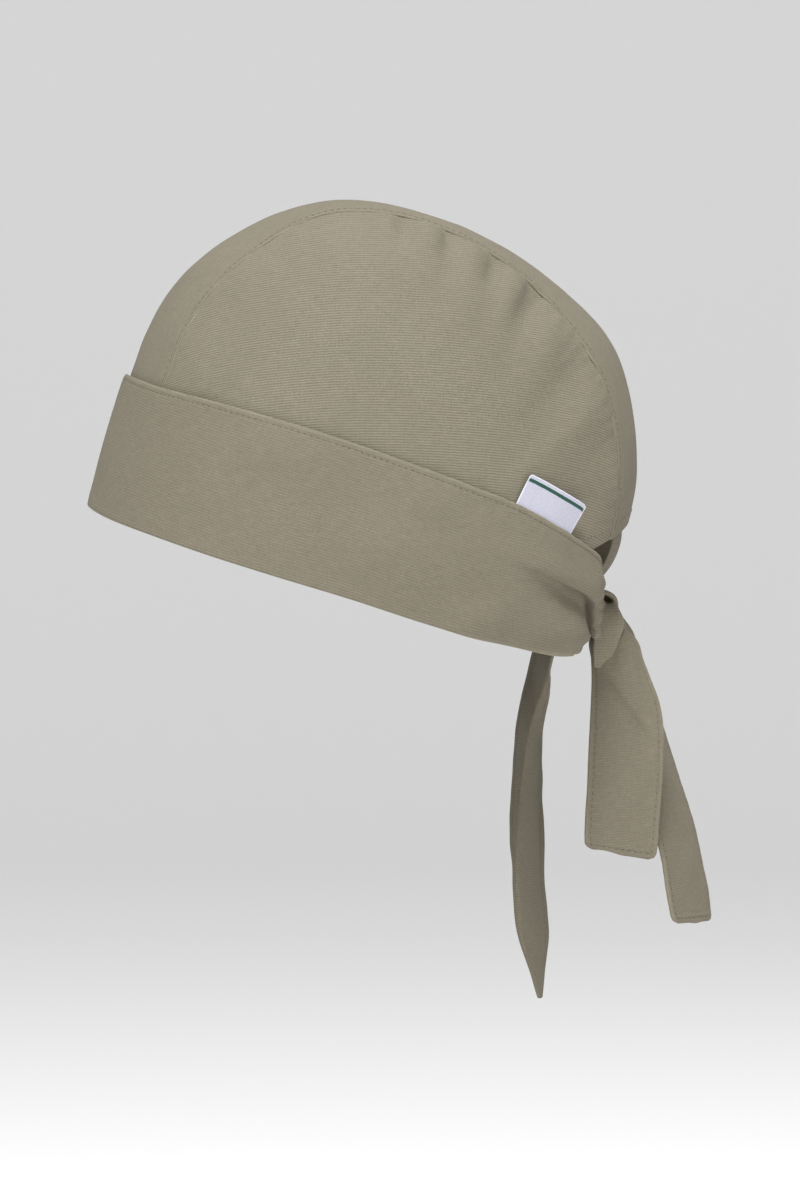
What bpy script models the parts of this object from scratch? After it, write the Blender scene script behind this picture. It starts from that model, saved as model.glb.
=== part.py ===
"""Chef bandana: a tied cloth cap with a turned-up band, a tail and two tie ends.

The front faces -Y, the wearer's left is +X and up is +Z. The origin is the middle of the head
opening, in the plane of the rim, which dips towards the back as the cap is worn. The crown, the
band and the knot are worked out in the rim's own frame, level with the rim, and then tilted.
"""

import math

import bmesh
import bpy
import numpy as np

# Driving sizes of the crown, in metres
RIM_LENGTH = 0.217
RIM_WIDTH = 0.163
RIM_SAG = 0.0065
RIM_TILT = math.radians(16.3)
CROWN_HEIGHT = 0.1545
CROWN_WALL = 0.0012
CROWN_EXPONENT = 2.2
CENTRE_PANEL_WIDTH = 0.076
HEM_RISE = 0.0566
HEM_SPAN = 0.148
HEM_ARCH = 1.7
HEM_SWEEP_FROM = math.radians(110.0)
PUCKER_HEIGHT = 0.0011

# The band
BAND_HEIGHT = 0.058
BAND_WALL = 0.0022
BAND_PUFF = 0.0045
BAND_PULL = 0.0050

# The label
LABEL_LENGTH = 0.0260
LABEL_HEIGHT = 0.0125
LABEL_WALL = 0.0010
LABEL_LEAN = 0.0012
LABEL_ANGLE = math.radians(134.8)
LABEL_SKEW = math.radians(12.0)

# The knot
KNOT_WIDTH = 0.0166
KNOT_DEPTH = 0.0145
KNOT_HEIGHT = 0.0220
KNOT_RISE = 0.0155
KNOT_OVERHANG = 0.0028
KNOT_SHOULDER_WIDTH = 0.0186

# The tie ends and the tail. TIE_CUP_MIDDLE is a share of the cup, all else is in metres
TIE_WIDTH = 0.030
TIE_WALL = 0.0016
TIE_CUP_MIDDLE = 0.5
LEFT_TIE_LENGTH = 0.0893
RIGHT_TIE_LENGTH = 0.1222
TIE_END_SLANT = 0.0050
TIE_END_REACH = 0.0250
TAIL_WIDTH = 0.056
TAIL_WALL = 0.0012
TAIL_DROP = 0.1434
TAIL_TUCK = 0.011
TAIL_FOLD_ROUNDNESS = 0.010

# Clearances between neighbours
SEAM_GAP = 0.0006
LAYER_GAP = 0.0007
KNOT_GAP = 0.0002

# Middle line of the crown over the top, from the front rim to the back rim.
# Columns: back (share of RIM_LENGTH), up (share of CROWN_HEIGHT), flatness across the top
CROWN_PROFILE = [
    (-0.491, 0.000, 2.0),
    (-0.494, 0.200, 2.0),
    (-0.492, 0.370, 2.0),
    (-0.474, 0.572, 2.1),
    (-0.440, 0.686, 2.3),
    (-0.367, 0.815, 2.7),
    (-0.288, 0.911, 3.2),
    (-0.226, 0.958, 3.5),
    (-0.139, 0.989, 3.7),
    (-0.020, 0.996, 3.6),
    (0.155, 0.959, 2.9),
    (0.263, 0.903, 2.45),
    (0.381, 0.801, 2.1),
    (0.456, 0.634, 2.1),
    (0.497, 0.449, 2.15),
    (0.503, 0.330, 2.2),
    (0.502, 0.150, 2.2),
    (0.494, 0.000, 2.2),
]

# Gathers and soft folds of the side panels.
# Columns: sweep over the top (degrees), side (share of half RIM_WIDTH), reach along the
# sweep (degrees), reach sideways (share of half RIM_WIDTH), height (share of PUCKER_HEIGHT)
CROWN_PUCKERS = [
    (82.0, 0.58, 2.4, 0.11, -1.2),
    (86.5, 0.57, 2.4, 0.10, 0.9),
    (90.8, 0.59, 2.4, 0.12, -1.3),
    (95.0, 0.58, 2.4, 0.11, 1.0),
    (99.2, 0.60, 2.4, 0.13, -1.4),
    (103.2, 0.59, 2.4, 0.12, 1.1),
    (107.5, 0.61, 2.6, 0.14, -1.5),
    (113.5, 0.61, 3.4, 0.14, 1.2),
    (121.0, 0.62, 3.4, 0.14, -1.1),
    (129.0, 0.64, 3.6, 0.13, 0.9),
    (147.0, 0.72, 5.0, 0.10, -1.2),
    (60.0, 0.90, 7.0, 0.05, -1.2),
    (54.0, 0.80, 6.0, 0.05, 0.5),
    (76.0, 0.86, 6.0, 0.04, 0.7),
]

# How finely each cloth is divided
PANEL_ROWS = 15
PANEL_COLUMNS = 31
CENTRE_ROWS = 9
CENTRE_COLUMNS = 35
BAND_COARSE_ANGLES = (0.0, 130.0, 20)
BAND_FINE_ANGLE = 135.5
BAND_FINE_COUNT = 12
BAND_ROWS = 12
LABEL_ROWS = 4
LABEL_COLUMNS = 7
TIE_ROWS = 17
TIE_COLUMNS = 7
TAIL_ROWS = 33
TAIL_COLUMNS = 11
TAIL_TUCK_ROWS = 4
CURVE_SAMPLES = 600
HALVINGS = 40

# The band from the front round to the knot.
# Columns: angle from the front (degrees), top edge and bottom edge above the rim plane
# (shares of BAND_HEIGHT), how far it is pulled in towards the knot (share of BAND_PULL)
BAND_EDGES = [
    (0.0, 0.955, 0.000, 0.0),
    (21.0, 0.932, -0.026, 0.0),
    (42.0, 0.956, -0.016, 0.0),
    (65.0, 0.968, 0.000, 0.0),
    (90.0, 0.945, 0.004, 0.0),
    (113.0, 0.906, -0.022, 0.0),
    (129.0, 0.858, -0.034, 0.0),
    (137.0, 0.806, -0.038, 0.0),
    (146.0, 0.738, -0.038, 0.0),
    (155.0, 0.660, -0.028, 0.15),
    (161.0, 0.585, -0.008, 0.75),
    (168.0, 0.500, 0.024, 1.0),
    (174.5, 0.440, 0.060, 1.0),
]

# Where the band stands off the crown.
# Columns: angle (degrees), height up the band (share), reach along the angle (degrees),
# reach up the band (share), height (share of BAND_PUFF)
BAND_PUFFS = [
    (30.0, 0.35, 26.0, 0.30, 0.12),
    (95.0, 0.35, 16.0, 0.25, 0.28),
    (60.0, 0.78, 12.0, 0.14, 0.22),
    (104.0, 0.80, 9.0, 0.12, 0.20),
    (124.0, 0.10, 7.0, 0.14, 0.34),
    (138.0, 0.62, 12.0, 0.26, 0.40),
    (156.0, 0.78, 8.0, 0.14, 0.70),
    (152.0, 0.18, 11.0, 0.20, 1.00),
    (166.0, 0.24, 6.0, 0.22, 0.45),
    (168.0, 0.84, 5.0, 0.16, 0.35),
]

# The tail's middle line. The first columns place a point in the rim's frame and the last two
# hang it from there. Columns: back (share of half RIM_LENGTH), up (share of HEM_RISE),
# drop and forward (shares of TAIL_DROP)
TAIL_PATH = [
    (1.000, 0.820, 0.000, 0.000),
    (0.992, 0.650, 0.000, 0.000),
    (0.960, 0.500, 0.000, 0.000),
    (0.924, 0.330, 0.000, 0.000),
    (0.893, 0.120, 0.000, 0.000),
    (0.860, -0.130, 0.000, 0.000),
    (0.860, -0.130, 0.085, 0.026),
    (0.860, -0.130, 0.180, 0.050),
    (0.860, -0.130, 0.290, 0.062),
    (0.860, -0.130, 0.416, 0.064),
    (0.860, -0.130, 0.538, 0.064),
    (0.860, -0.130, 0.648, 0.059),
    (0.860, -0.130, 0.761, 0.050),
    (0.860, -0.130, 0.880, 0.036),
    (0.860, -0.130, 1.000, 0.024),
]
# How the tail folds and narrows down its length.
# Columns: share of its length, folding (0 flat to 1 folded), place of the crease (-1 the far
# edge to 1 the near edge), width (share of TAIL_WIDTH)
TAIL_FOLDS = [
    (0.00, 0.00, 0.90, 1.00),
    (0.22, 0.00, 0.85, 0.96),
    (0.35, 0.35, 0.70, 0.76),
    (0.45, 0.85, 0.30, 0.66),
    (0.60, 1.00, -0.30, 0.69),
    (0.75, 1.00, -0.65, 0.69),
    (0.90, 1.00, -0.80, 0.54),
    (1.00, 1.00, -0.80, 0.07),
]
TAIL_INNER_DIRECTION = (-0.98, -0.15)
TAIL_OUTER_DIRECTION = (-0.88, 0.46)

# Where each tie end leaves the knot, from the knot's middle: drop, back and left, as shares of
# KNOT_HEIGHT
LEFT_TIE_START = (0.475, 0.134, 0.201)
RIGHT_TIE_START = (0.364, 0.405, -0.205)

# The tie ends, from where they leave the knot.
# Columns: drop, back and left (shares of the tie's length), width (share of TIE_WIDTH),
# turn of the cloth from facing left towards facing back (degrees), cupping (share of width)
LEFT_TIE_PATH = [
    (0.000, 0.000, 0.000, 0.60, -10.0, 0.16),
    (0.094, 0.020, 0.012, 0.68, -4.0, 0.14),
    (0.183, 0.038, 0.023, 0.78, 0.0, 0.10),
    (0.289, 0.056, 0.030, 0.92, 4.0, 0.07),
    (0.395, 0.063, 0.032, 1.00, 6.0, 0.05),
    (0.530, 0.060, 0.032, 1.02, 6.0, 0.04),
    (0.687, 0.054, 0.030, 1.02, 5.0, 0.04),
    (0.843, 0.043, 0.028, 1.00, 4.0, 0.04),
    (0.966, 0.036, 0.028, 0.98, 4.0, 0.03),
    (1.000, 0.034, 0.028, 0.92, 4.0, 0.03),
]
RIGHT_TIE_PATH = [
    (0.000, 0.000, 0.000, 0.34, 40.0, 0.10),
    (0.053, 0.011, -0.007, 0.46, 44.0, 0.12),
    (0.136, 0.022, -0.022, 0.66, 48.0, 0.12),
    (0.254, 0.061, -0.039, 0.88, 50.0, 0.08),
    (0.387, 0.097, -0.052, 1.00, 51.0, 0.06),
    (0.526, 0.143, -0.063, 1.02, 51.0, 0.05),
    (0.664, 0.186, -0.069, 1.02, 51.0, 0.05),
    (0.787, 0.216, -0.074, 1.02, 51.0, 0.04),
    (0.973, 0.249, -0.078, 1.00, 51.0, 0.04),
    (1.000, 0.254, -0.078, 0.92, 51.0, 0.04),
]

# Lumps of the knot, as shares of its width, depth and height.
# Columns: left, back, up, half width, half depth, half height
KNOT_LUMPS = [
    (0.00, 0.03, -0.12, 0.50, 0.46, 0.38),
    (0.00, -0.38, 0.02, KNOT_SHOULDER_WIDTH / KNOT_WIDTH / 2, 0.20, 0.44),
    (0.06, 0.13, -0.15, 0.34, 0.41, 0.24),
    (-0.10, -0.02, 0.16, 0.36, 0.34, 0.24),
]
KNOT_LUMP_SEGMENTS = 16
KNOT_LUMP_RINGS = 10
# The loop on top of the knot: its place and its stretch, both left, back and up
KNOT_LOOP_PLACE = (0.00, -0.08, 0.23)
KNOT_LOOP_STRETCH = (1.15, 0.90, 1.50)
KNOT_LOOP_RADIUS = 0.0036
KNOT_LOOP_TUBE = 0.0024
KNOT_LOOP_SEGMENTS = 16
KNOT_LOOP_SIDES = 8

# Points closer than these are one point: where rows meet, and where the band's halves meet
ROW_MERGE = 0.00002
HALF_MERGE = 0.00005

CLOTH_ROUGHNESS = 0.9
CLOTH_COLOUR = (0.235, 0.215, 0.165, 1.0)
TAIL_COLOUR = (0.190, 0.172, 0.130, 1.0)
LABEL_COLOUR = (0.700, 0.690, 0.760, 1.0)


def spline(keys, values, wanted):
    """Values at `wanted` on a smooth curve through rows of values at rising keys."""
    keys = np.asarray(keys, dtype=float)
    values = np.asarray(values, dtype=float)
    slopes = np.gradient(values, keys, axis=0)
    left = np.clip(np.searchsorted(keys, wanted, side="right") - 1, 0, len(keys) - 2)
    width = (keys[left + 1] - keys[left])[:, None]
    t = (wanted - keys[left])[:, None] / width
    start = values[left] * (2 * t**3 - 3 * t**2 + 1)
    end = values[left + 1] * (3 * t**2 - 2 * t**3)
    bend = slopes[left] * (t**3 - 2 * t**2 + t) + slopes[left + 1] * (t**3 - t**2)
    return start + end + width * bend


def along_rows(rows, count):
    """Evenly spaced points on a smooth curve through rows, whose columns are all lengths."""
    rows = np.asarray(rows, dtype=float)
    steps = np.linalg.norm(np.diff(rows[:, :3], axis=0), axis=1)
    way = np.concatenate(([0.0], np.cumsum(steps)))
    return spline(way, rows, np.linspace(0.0, way[-1], count))


def crown_sections():
    """Sweep angle, radius and flatness of the crown's middle line, finely sampled."""
    rows = np.array(CROWN_PROFILE) * (RIM_LENGTH, CROWN_HEIGHT, 1.0)
    steps = np.hypot(np.diff(rows[:, 0]), np.diff(rows[:, 1]))
    way = np.concatenate(([0.0], np.cumsum(steps)))
    line = spline(way, rows, np.linspace(0.0, way[-1], CURVE_SAMPLES))
    sweep = np.arctan2(line[:, 1], -line[:, 0])
    radius = np.hypot(line[:, 0], line[:, 1])
    return sweep, radius, line[:, 2]


def crown_reach(sweep, side):
    """Distance of the crown's outside from the axis through both ears."""
    sweeps, radii, flatness = crown_sections()
    share = np.clip(np.abs(side) / (RIM_WIDTH / 2), 0.0, 1.0)
    narrowing = 1.0 - share ** np.interp(sweep, sweeps, flatness)
    return np.interp(sweep, sweeps, radii) * narrowing ** (1.0 / CROWN_EXPONENT)


def crown_points(sweep, side):
    """Points of the crown's outside, in the rim's frame."""
    reach = crown_reach(sweep, side)
    return np.stack([side, -reach * np.cos(sweep), reach * np.sin(sweep)], axis=-1)


def outline_radius(angle, height):
    """Distance of the crown's outside from the middle, seen from above, at a given height."""
    near = np.zeros_like(angle)
    far = np.full_like(angle, RIM_LENGTH)
    for _ in range(HALVINGS):
        middle = (near + far) / 2
        forward = middle * np.cos(angle)
        side = middle * np.sin(angle)
        sweep = np.arctan2(height, forward)
        inside = np.hypot(forward, height) < crown_reach(sweep, side)
        near = np.where(inside, middle, near)
        far = np.where(inside, far, middle)
    return near


def hem_height(side):
    """Height of the crown's lower edge above the rim plane at the back."""
    share = np.clip(np.abs(side) / (HEM_SPAN / 2), 0.0, 1.0)
    return HEM_RISE * np.sqrt(1.0 - share**HEM_ARCH)


def hem_sweep(side):
    """Sweep angle at which the crown ends at the back."""
    sweeps = np.linspace(HEM_SWEEP_FROM, math.pi, CURVE_SAMPLES)
    heights = crown_points(sweeps, np.full_like(sweeps, side))[:, 2]
    return np.interp(-hem_height(side), -heights, sweeps)


def relief(table, along, across, height):
    """Sum of the soft bumps and dents of a table at places along and across a piece."""
    total = np.zeros_like(along)
    for place, side, reach, spread, share in table:
        away = ((along - place) / reach) ** 2 + ((across - side) / spread) ** 2
        total += share * height * np.exp(-away)
    return total


def grid_normals(points):
    """Unit normals of a grid of points."""
    normals = np.cross(np.gradient(points, axis=0), np.gradient(points, axis=1))
    size = np.linalg.norm(normals, axis=-1, keepdims=True)
    return normals / np.maximum(size, 1e-12)


def worn(points):
    """Takes points from the rim's frame to where they are worn: sagged at the sides, tilted."""
    x, y, z = points[..., 0], points[..., 1], points[..., 2]
    low = np.clip(1.0 - z / CROWN_HEIGHT, 0.0, None)
    z = z - RIM_SAG * (np.abs(x) / (RIM_WIDTH / 2)) ** 2 * low**2
    back = y * math.cos(RIM_TILT) + z * math.sin(RIM_TILT)
    up = z * math.cos(RIM_TILT) - y * math.sin(RIM_TILT)
    return np.stack([x, back, up], axis=-1)


def material(name, colour):
    """A plain cloth material."""
    made = bpy.data.materials.new(name)
    made.use_nodes = True
    shader = made.node_tree.nodes["Principled BSDF"]
    shader.inputs["Base Color"].default_value = colour
    shader.inputs["Roughness"].default_value = CLOTH_ROUGHNESS
    shader.inputs["Metallic"].default_value = 0.0
    return made


def cloth_object(name, points, wall, offset, colour, collection, flip=False):
    """A sheet of cloth from a grid of points, given its wall by Solidify."""
    rows, columns = points.shape[:2]
    faces = []
    for row in range(rows - 1):
        for column in range(columns - 1):
            corner = row * columns + column
            face = (corner, corner + 1, corner + columns + 1, corner + columns)
            faces.append(face if flip else face[::-1])
    mesh = bpy.data.meshes.new(name)
    mesh.from_pydata(points.reshape(-1, 3).tolist(), [], faces)
    shaped = bmesh.new()
    shaped.from_mesh(mesh)
    bmesh.ops.remove_doubles(shaped, verts=shaped.verts, dist=ROW_MERGE)
    shaped.to_mesh(mesh)
    shaped.free()
    mesh.shade_smooth()
    mesh.materials.append(material(name + "_cloth", colour))
    made = bpy.data.objects.new(name, mesh)
    collection.objects.link(made)
    solidify = made.modifiers.new("Wall", "SOLIDIFY")
    solidify.thickness = wall
    solidify.offset = offset
    solidify.use_even_offset = True
    return made


def build_centre_panel(collection):
    """The strip over the top, from the front rim to the arched hem."""
    half = CENTRE_PANEL_WIDTH / 2
    sides = np.linspace(-half, half, CENTRE_ROWS)
    rows = []
    for side in sides:
        sweep = np.linspace(0.0, hem_sweep(side), CENTRE_COLUMNS)
        rows.append(crown_points(sweep, np.full_like(sweep, side)))
    points = worn(np.array(rows))
    cloth_object("centre_panel", points, CROWN_WALL, -1.0, CLOTH_COLOUR, collection)


def build_side_panel(name, hand, collection):
    """One side panel, from the seam down to the rim; `hand` is 1 on the left, -1 on the right."""
    half = RIM_WIDTH / 2
    start = math.asin((CENTRE_PANEL_WIDTH / 2 + SEAM_GAP) / half)
    sides = half * np.sin(np.linspace(start, math.pi / 2, PANEL_ROWS))
    grid_sweep = []
    for side in sides:
        grid_sweep.append(np.linspace(0.0, hem_sweep(side), PANEL_COLUMNS))
    grid_sweep = np.array(grid_sweep)
    grid_side = np.repeat(sides[:, None], grid_sweep.shape[1], axis=1)
    points = crown_points(grid_sweep, grid_side)
    bumps = relief(CROWN_PUCKERS, np.degrees(grid_sweep), grid_side / half, PUCKER_HEIGHT)
    points = points + grid_normals(points) * bumps[..., None]
    points[..., 0] *= hand
    points = worn(points)
    flip = hand < 0
    cloth_object(name, points, CROWN_WALL, -1.0, CLOTH_COLOUR, collection, flip)


def band_points(angles, shares, out):
    """Points that stand off the crown by `out`, at angles from the front and heights in shares."""
    edges = spline([row[0] for row in BAND_EDGES], [row[1:] for row in BAND_EDGES], angles)
    top = edges[:, 0:1] * BAND_HEIGHT
    bottom = edges[:, 1:2] * BAND_HEIGHT
    height = bottom + (top - bottom) * shares[None, :]
    around = np.repeat(np.radians(angles)[:, None], len(shares), axis=1)
    up_band = np.repeat(shares[None, :], len(angles), axis=0)
    stand = out - edges[:, 2:3] * BAND_PULL
    stand = stand + relief(BAND_PUFFS, np.degrees(around), up_band, BAND_PUFF)
    radius = outline_radius(around, np.maximum(height, 0.0)) + stand
    return np.stack([radius * np.sin(around), -radius * np.cos(around), height], axis=-1)


def build_front_band(collection):
    """The turned-up cuff: one half from the front to the knot, mirrored."""
    coarse = np.linspace(*BAND_COARSE_ANGLES)
    beside_knot = (KNOT_SHOULDER_WIDTH / 2 + KNOT_GAP) / (RIM_LENGTH / 2 - BAND_PULL)
    end = 180.0 - math.degrees(math.asin(beside_knot))
    fine = np.linspace(BAND_FINE_ANGLE, end, BAND_FINE_COUNT)
    angles = np.concatenate((coarse, fine))
    shares = np.linspace(0.0, 1.0, BAND_ROWS)
    points = worn(band_points(angles, shares, LAYER_GAP + BAND_WALL))
    band = cloth_object("front_band", points, BAND_WALL, -1.0, CLOTH_COLOUR, collection)
    mirror = band.modifiers.new("Other side", "MIRROR")
    mirror.merge_threshold = HALF_MERGE
    band.modifiers.move(1, 0)


def build_label(collection):
    """The woven tab that stands up from the band's top edge on the wearer's left."""
    middle = outline_radius(np.array([LABEL_ANGLE]), np.array([BAND_HEIGHT]))[0]
    spread = math.degrees(LABEL_LENGTH / middle / 2)
    centre = math.degrees(LABEL_ANGLE)
    angles = np.linspace(centre - spread, centre + spread, LABEL_COLUMNS)
    edges = spline([row[0] for row in BAND_EDGES], [row[1:] for row in BAND_EDGES], angles)
    rows = []
    for share in np.linspace(0.0, 1.0, LABEL_ROWS):
        height = edges[:, 0] * BAND_HEIGHT + SEAM_GAP + share * LABEL_HEIGHT
        stand = SEAM_GAP + LABEL_WALL + share * LABEL_LEAN
        around = np.radians(angles) + share * LABEL_HEIGHT * math.tan(LABEL_SKEW) / middle
        radius = outline_radius(around, height) + stand
        rows.append(np.stack([radius * np.sin(around), -radius * np.cos(around), height], axis=-1))
    points = worn(np.array(rows))
    cloth_object("label", points, LABEL_WALL, -1.0, LABEL_COLOUR, collection, True)


def knot_middle():
    """The knot's middle, in the rim's frame: just outside the tail at the back."""
    back = outline_radius(np.array([math.pi]), np.array([KNOT_RISE]))[0]
    return np.array([0.0, back + KNOT_OVERHANG, KNOT_RISE])


def build_knot(collection, helpers):
    """The knot: rounded wraps and one loop, joined."""
    size = np.array([KNOT_WIDTH, KNOT_DEPTH, KNOT_HEIGHT])
    lumps = []
    for number, row in enumerate(KNOT_LUMPS):
        centre = knot_middle() + np.array(row[:3]) * size
        bpy.ops.mesh.primitive_uv_sphere_add(
            segments=KNOT_LUMP_SEGMENTS, ring_count=KNOT_LUMP_RINGS, radius=1.0,
        )
        lump = bpy.context.object
        lump.name = "knot" if number == 0 else f"knot_wrap_{number}"
        lump.scale = np.array(row[3:]) * size
        lump.location = worn(centre)
        lump.rotation_euler = (-RIM_TILT, 0.0, 0.0)
        lumps.append(lump)
    bpy.ops.mesh.primitive_torus_add(
        major_radius=KNOT_LOOP_RADIUS, minor_radius=KNOT_LOOP_TUBE,
        major_segments=KNOT_LOOP_SEGMENTS, minor_segments=KNOT_LOOP_SIDES,
    )
    loop = bpy.context.object
    loop.name = "knot_loop"
    loop.rotation_euler = (0.0, math.pi / 2, 0.0)
    loop.scale = KNOT_LOOP_STRETCH
    loop.location = worn(knot_middle() + np.array(KNOT_LOOP_PLACE) * size)
    lumps.append(loop)
    knot = lumps[0]
    for lump in lumps:
        for owner in lump.users_collection:
            owner.objects.unlink(lump)
        (collection if lump is knot else helpers).objects.link(lump)
    for lump in lumps[1:]:
        lump.hide_render = True
        lump.display_type = "WIRE"
        union = knot.modifiers.new("Join " + lump.name, "BOOLEAN")
        union.operation = "UNION"
        union.object = lump
    knot.data.materials.append(material("knot_cloth", CLOTH_COLOUR))
    knot.data.shade_smooth()


def build_tie(name, start, path, length, collection):
    """One flat tie end, hanging from the knot."""
    down, behind, beside = start
    leaves = worn(knot_middle()) + np.array([beside, behind, -down]) * KNOT_HEIGHT
    across = np.linspace(-0.5, 0.5, TIE_COLUMNS)
    bowl = (2.0 * across) ** 2 - TIE_CUP_MIDDLE
    points = []
    for drop, back, left, width, turn, cup in along_rows(path, TIE_ROWS):
        middle = leaves + np.array([left, back, -drop]) * length
        facing = math.radians(turn)
        along = np.array([-math.sin(facing), math.cos(facing), 0.0])
        outward = np.array([math.cos(facing), math.sin(facing), 0.0])
        reach = across[:, None] * width * TIE_WIDTH
        cupped = bowl[:, None] * cup * width * TIE_WIDTH
        near_end = max(0.0, 1.0 - (1.0 - drop) * length / TIE_END_REACH)
        slanted = (across * TIE_END_SLANT * near_end)[:, None] * np.array([0.0, 0.0, -1.0])
        points.append(middle + reach * along - cupped * outward + slanted)
    cloth_object(name, np.array(points), TIE_WALL, 0.0, CLOTH_COLOUR, collection)


def tail_middle_line(count):
    """The tail's middle line, where it is worn."""
    tuck_sweep = hem_sweep(0.0) - TAIL_TUCK / (RIM_LENGTH / 2)
    sweeps = np.linspace(tuck_sweep, hem_sweep(0.0), TAIL_TUCK_ROWS)
    inner = crown_points(sweeps, np.zeros_like(sweeps))
    inner -= line_normals(inner) * (CROWN_WALL + LAYER_GAP + TAIL_WALL / 2)
    hung = []
    for back, up, drop, forward in TAIL_PATH:
        held = worn(np.array([0.0, back * RIM_LENGTH / 2, up * HEM_RISE]))
        hung.append(held - np.array([0.0, forward, drop]) * TAIL_DROP)
    return along_rows(np.concatenate((worn(inner), hung)), count)


def line_normals(line):
    """Outward normals of a line that runs down the back of the crown."""
    along = np.gradient(line, axis=0)
    along /= np.linalg.norm(along, axis=1, keepdims=True)
    return np.stack([along[:, 0], -along[:, 2], along[:, 1]], axis=-1)


def tail_section(folding, crease, width):
    """Side and back offsets across the tail, from flat on the nape to folded lengthwise."""
    across = np.linspace(-1.0, 1.0, TAIL_COLUMNS) * width / 2
    lying = RIM_LENGTH / 2 * (1.0 - (np.abs(across) / (RIM_WIDTH / 2)) ** 2) ** 0.5
    flat = np.stack([across, lying - RIM_LENGTH / 2], axis=-1)
    inner = np.array(TAIL_INNER_DIRECTION)
    outer = np.array(TAIL_OUTER_DIRECTION)
    away = across - crease * width / 2
    rounded = np.sqrt(away**2 + TAIL_FOLD_ROUNDNESS**2) - TAIL_FOLD_ROUNDNESS
    folded = (inner + outer) / 2 * rounded[:, None] + (outer - inner) / 2 * away[:, None]
    folded = folded - folded.mean(axis=0)
    return flat + (folded - flat) * folding


def build_tail(collection):
    """The tail: from inside the back hem, behind the knot, and down to its point."""
    line = tail_middle_line(TAIL_ROWS)
    shares = np.linspace(0.0, 1.0, TAIL_ROWS)
    folds = spline([row[0] for row in TAIL_FOLDS], [row[1:] for row in TAIL_FOLDS], shares)
    points = []
    for middle, (folding, crease, width) in zip(line, folds):
        section = tail_section(np.clip(folding, 0.0, 1.0), crease, width * TAIL_WIDTH)
        spread = np.zeros((len(section), 3))
        spread[:, :2] = section
        points.append(middle + spread)
    cloth_object("tail", np.array(points), TAIL_WALL, 0.0, TAIL_COLOUR, collection, True)


def main():
    for old in list(bpy.data.objects):
        bpy.data.objects.remove(old)
    collection = bpy.data.collections.new("chef_bandana")
    helpers = bpy.data.collections.new("helpers")
    bpy.context.scene.collection.children.link(collection)
    bpy.context.scene.collection.children.link(helpers)
    build_centre_panel(collection)
    build_side_panel("side_panel_left", 1, collection)
    build_side_panel("side_panel_right", -1, collection)
    build_front_band(collection)
    build_label(collection)
    build_knot(collection, helpers)
    build_tie("tie_left", LEFT_TIE_START, LEFT_TIE_PATH, LEFT_TIE_LENGTH, collection)
    build_tie("tie_right", RIGHT_TIE_START, RIGHT_TIE_PATH, RIGHT_TIE_LENGTH, collection)
    build_tail(collection)


main()
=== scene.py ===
"""Looks of a tied chef bandana: panelled crown, turned-up band, knot, two tie ends and a tail.

Run as a script. It builds finely worked cloth pieces round the fixed CAD frame. The front faces
-Y, the wearer's left is +X and up is +Z. The crown, the band and the knot are worked out level,
in the rim's own frame, and then tilted to where they are worn.
"""

import math

import bpy
import numpy as np
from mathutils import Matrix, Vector


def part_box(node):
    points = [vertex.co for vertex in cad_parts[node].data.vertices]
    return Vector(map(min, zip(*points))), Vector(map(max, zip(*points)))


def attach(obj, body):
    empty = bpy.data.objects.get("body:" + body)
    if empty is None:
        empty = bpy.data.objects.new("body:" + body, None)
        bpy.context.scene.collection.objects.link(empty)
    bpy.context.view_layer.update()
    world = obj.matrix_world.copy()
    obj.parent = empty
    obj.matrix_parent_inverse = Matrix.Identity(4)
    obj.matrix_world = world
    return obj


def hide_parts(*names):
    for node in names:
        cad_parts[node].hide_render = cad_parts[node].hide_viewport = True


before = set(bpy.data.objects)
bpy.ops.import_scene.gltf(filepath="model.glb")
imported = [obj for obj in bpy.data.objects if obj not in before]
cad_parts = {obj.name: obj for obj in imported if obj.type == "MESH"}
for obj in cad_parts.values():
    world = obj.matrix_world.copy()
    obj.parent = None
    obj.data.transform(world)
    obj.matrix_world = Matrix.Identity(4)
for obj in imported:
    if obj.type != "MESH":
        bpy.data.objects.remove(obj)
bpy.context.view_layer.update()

bl_info = {
    "name": "Chef bandana",
    "version": (1, 0, 0),
    "blender": (4, 5, 0),
    "location": "View3D > Sidebar > Bandana",
    "description": "Builds a tied cloth chef bandana piece by piece",
    "category": "Add Mesh",
}

MM = 0.001
PANEL_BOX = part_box("side_panel_left")
CENTRE_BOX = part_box("centre_panel")

# Places and sizes that no other piece sets
KNOT_RISE = 0.0155
KNOT_STAND = 0.0028
TAIL_TUCK = 0.011
LABEL_ANGLE = math.radians(134.8)
LABEL_SKEW = math.radians(12.0)
LABEL_LENGTH = 0.0262
LABEL_HEIGHT = 0.0127
LABEL_HIDDEN_SHARE = 0.22
LABEL_THREAD_PITCH = 0.00022
LABEL_WORN_COLOUR = (0.62, 0.63, 0.70, 1.0)
TIE_END_SLANTS = {"left": 0.005, "right": 0.0005}

# Hems and stitch lines, from the edge of the cloth
SEAM_FOLD = 5.5 * MM
SEAM_STITCH = 1.3 * MM
HEM_FOLD = 6.0 * MM
# The band's height where its rows are spaced
TYPICAL_BAND = 55.0 * MM
HEM_STITCH = 5.4 * MM
BAND_STITCH = 1.9 * MM
TIE_STITCH = 1.7 * MM
TAIL_FOLD = 4.2 * MM
TAIL_STITCH = 3.6 * MM
GROOVE_REACH = 0.6 * MM
FINE_GROOVE_REACH = 0.55 * MM

# How deep the rib of each cloth is
RIB_DEPTHS = {"crown": 0.30, "band": 0.14, "knot": 0.12, "tie": 0.10, "tail": 0.14}

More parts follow.
